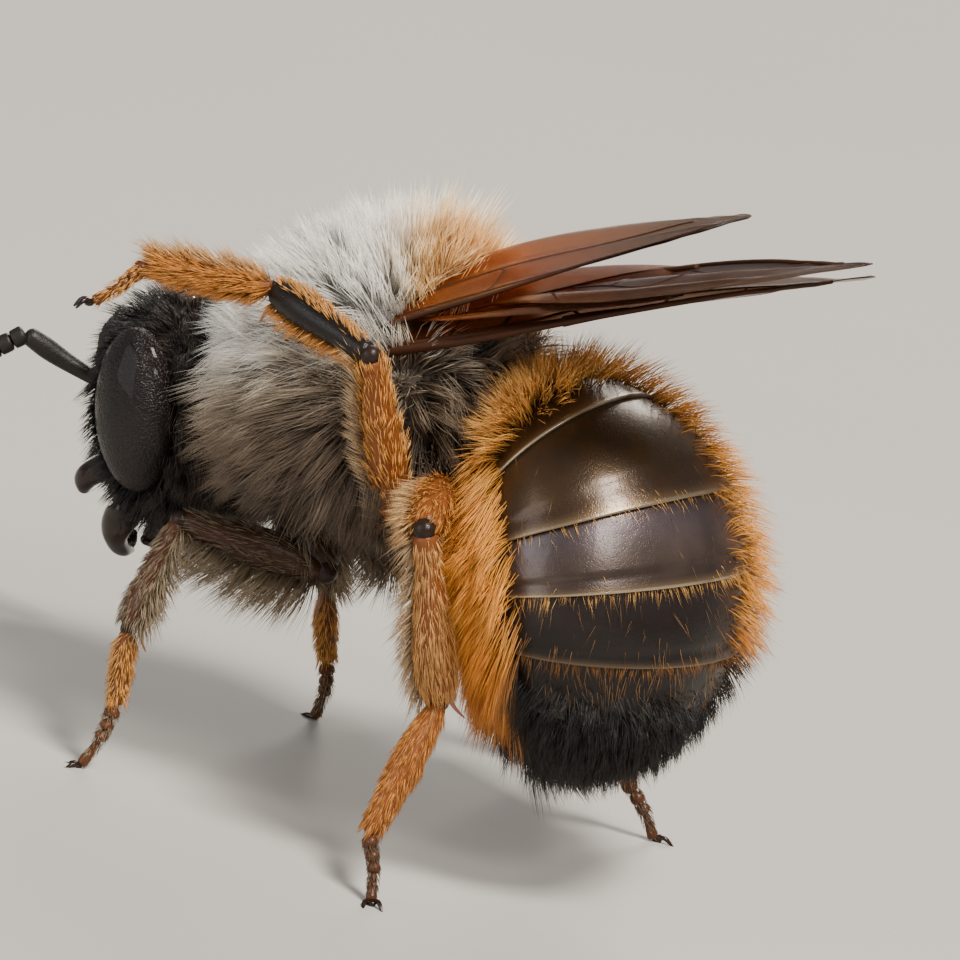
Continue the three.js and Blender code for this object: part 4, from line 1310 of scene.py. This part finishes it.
def down_the_leg(surface):
    """Hair lies along a segment, towards its lower end."""
    start, stop = surface(np.zeros(2), np.array([0.05, 0.95]))
    axis = unit(stop - start)
    return lambda root, normal: axis


leg_coat_finish = hair_finish("leg_fur", LEG_COLOURS, root=0.7, tip=1.2, spread=0.6)
for pair, side_name, side, pose in LEGS:
    lots = []
    for i, (part, count, length, lift, zone, towards) in enumerate(LEG_HAIR[pose]):
        surface = leg_surfaces[pair, side_name, part]
        seed = 100 + 20 * LEG_PAIRS.index(pair) + 8 * side + i
        lots.append(tufts(surface, count, length, down_the_leg(surface), seed=seed,
                          where=grown_on(towards, side), zone=zone, lift=lift, bend=0.25, sag=0.05,
                          thick=0.012, spread=0.1, gather=0.3, lock=6, sway=0.08, rings=2,
                          depth=LEG_ROOT_DEPTH, tile=(LOT_TILE * i, 0.0, LOT_TILE - 0.004, 0.97)))
    coat(f"coat_leg_{pair}_{side_name}", lots, leg_coat_finish, "leg_fur")

# ---------- Stage ----------
# The model stands on a plain pale matt floor under soft studio lamps. A long lens looks at it from
# its left rear, a little from above.
FLOOR_PALE, FLOOR_WARM = (0.43, 0.405, 0.365), (0.47, 0.445, 0.405)
FLOOR_HALF = 2.0  # half its width, in metres
floor_finish, tree, shader = new_finish("pale_floor", Roughness=0.7)
place = node(tree, "TexCoord").outputs["Object"]
cloud = node(tree, "TexNoise", Vector=place, Scale=60.0, Detail=3.0)
tree.links.new(mixed(tree, cloud.outputs[0], FLOOR_PALE, FLOOR_WARM), shader.inputs["Base Color"])
mesh = bpy.data.meshes.new("floor")
corners = [(FLOOR_HALF * x, FLOOR_HALF * y, 0) for x, y in ((-1, -1), (1, -1), (1, 1), (-1, 1))]
mesh.from_pydata(corners, [], [(0, 1, 2, 3)])
mesh.materials.append(floor_finish)
floor = bpy.data.objects.new("floor", mesh)
bpy.context.scene.collection.objects.link(floor)

TOWARDS = Vector(LEAN @ np.array([0.8324, 0.5406, 0.1219]))  # from the bee to the camera
LENS_UP = Vector(LEAN @ np.array([-0.1022, -0.0664, 0.9925]))
LENS_RIGHT = LENS_UP.cross(TOWARDS)
VIEW_WIDTH, DISTANCE = 12.468 * MM, 0.22
AIM_RIGHT, AIM_DOWN = 1.052 * MM, 2.051 * MM  # from the wing roots to the middle of the view
SENSOR = 36.0
aim = Vector(WING_ROOTS * MM) + LENS_RIGHT * AIM_RIGHT - LENS_UP * AIM_DOWN
lens = bpy.data.cameras.new("camera")
lens.sensor_width = SENSOR
lens.lens = SENSOR * DISTANCE / VIEW_WIDTH
lens.clip_start, lens.clip_end = 0.01, 10.0
camera = bpy.data.objects.new("camera", lens)
turn = Matrix((LENS_RIGHT, LENS_UP, TOWARDS)).transposed().to_4x4()
camera.matrix_world = Matrix.Translation(aim + TOWARDS * DISTANCE) @ turn
bpy.context.scene.collection.objects.link(camera)
bpy.context.scene.camera = camera


def lamp(name, right, up, near, size, power, colour):
    """A soft square lamp, placed by how far right of, above and in front of the aim it is."""
    light = bpy.data.lights.new(name, "AREA")
    light.size, light.energy, light.color = size, power, colour
    made = bpy.data.objects.new(name, light)
    made.location = aim + LENS_RIGHT * right + LENS_UP * up + TOWARDS * near
    made.rotation_euler = (aim - made.location).to_track_quat("-Z", "Y").to_euler()
    made.visible_camera = False
    bpy.context.scene.collection.objects.link(made)


WARM_LIGHT, COOL_LIGHT, LOW_LIGHT = (1.0, 0.95, 0.88), (0.92, 0.96, 1.0), (1.0, 0.93, 0.84)
SKY_COLOUR, SKY_STRENGTH = (0.93, 0.95, 1.0), 0.26
lamp("key", 0.10, 0.145, 0.125, 0.055, 0.78, WARM_LIGHT)
lamp("sheen", 0.085, 0.08, 0.18, 0.05, 0.2, WARM_LIGHT)
lamp("fill", -0.16, 0.06, 0.12, 0.14, 0.2, COOL_LIGHT)
lamp("rim", 0.05, 0.14, -0.16, 0.08, 0.22, LOW_LIGHT)
world = bpy.data.worlds.new("studio")
world.use_nodes = True
sky = world.node_tree.nodes["Background"]
sky.inputs["Color"].default_value = (*SKY_COLOUR, 1)
sky.inputs["Strength"].default_value = SKY_STRENGTH
bpy.context.scene.world = world
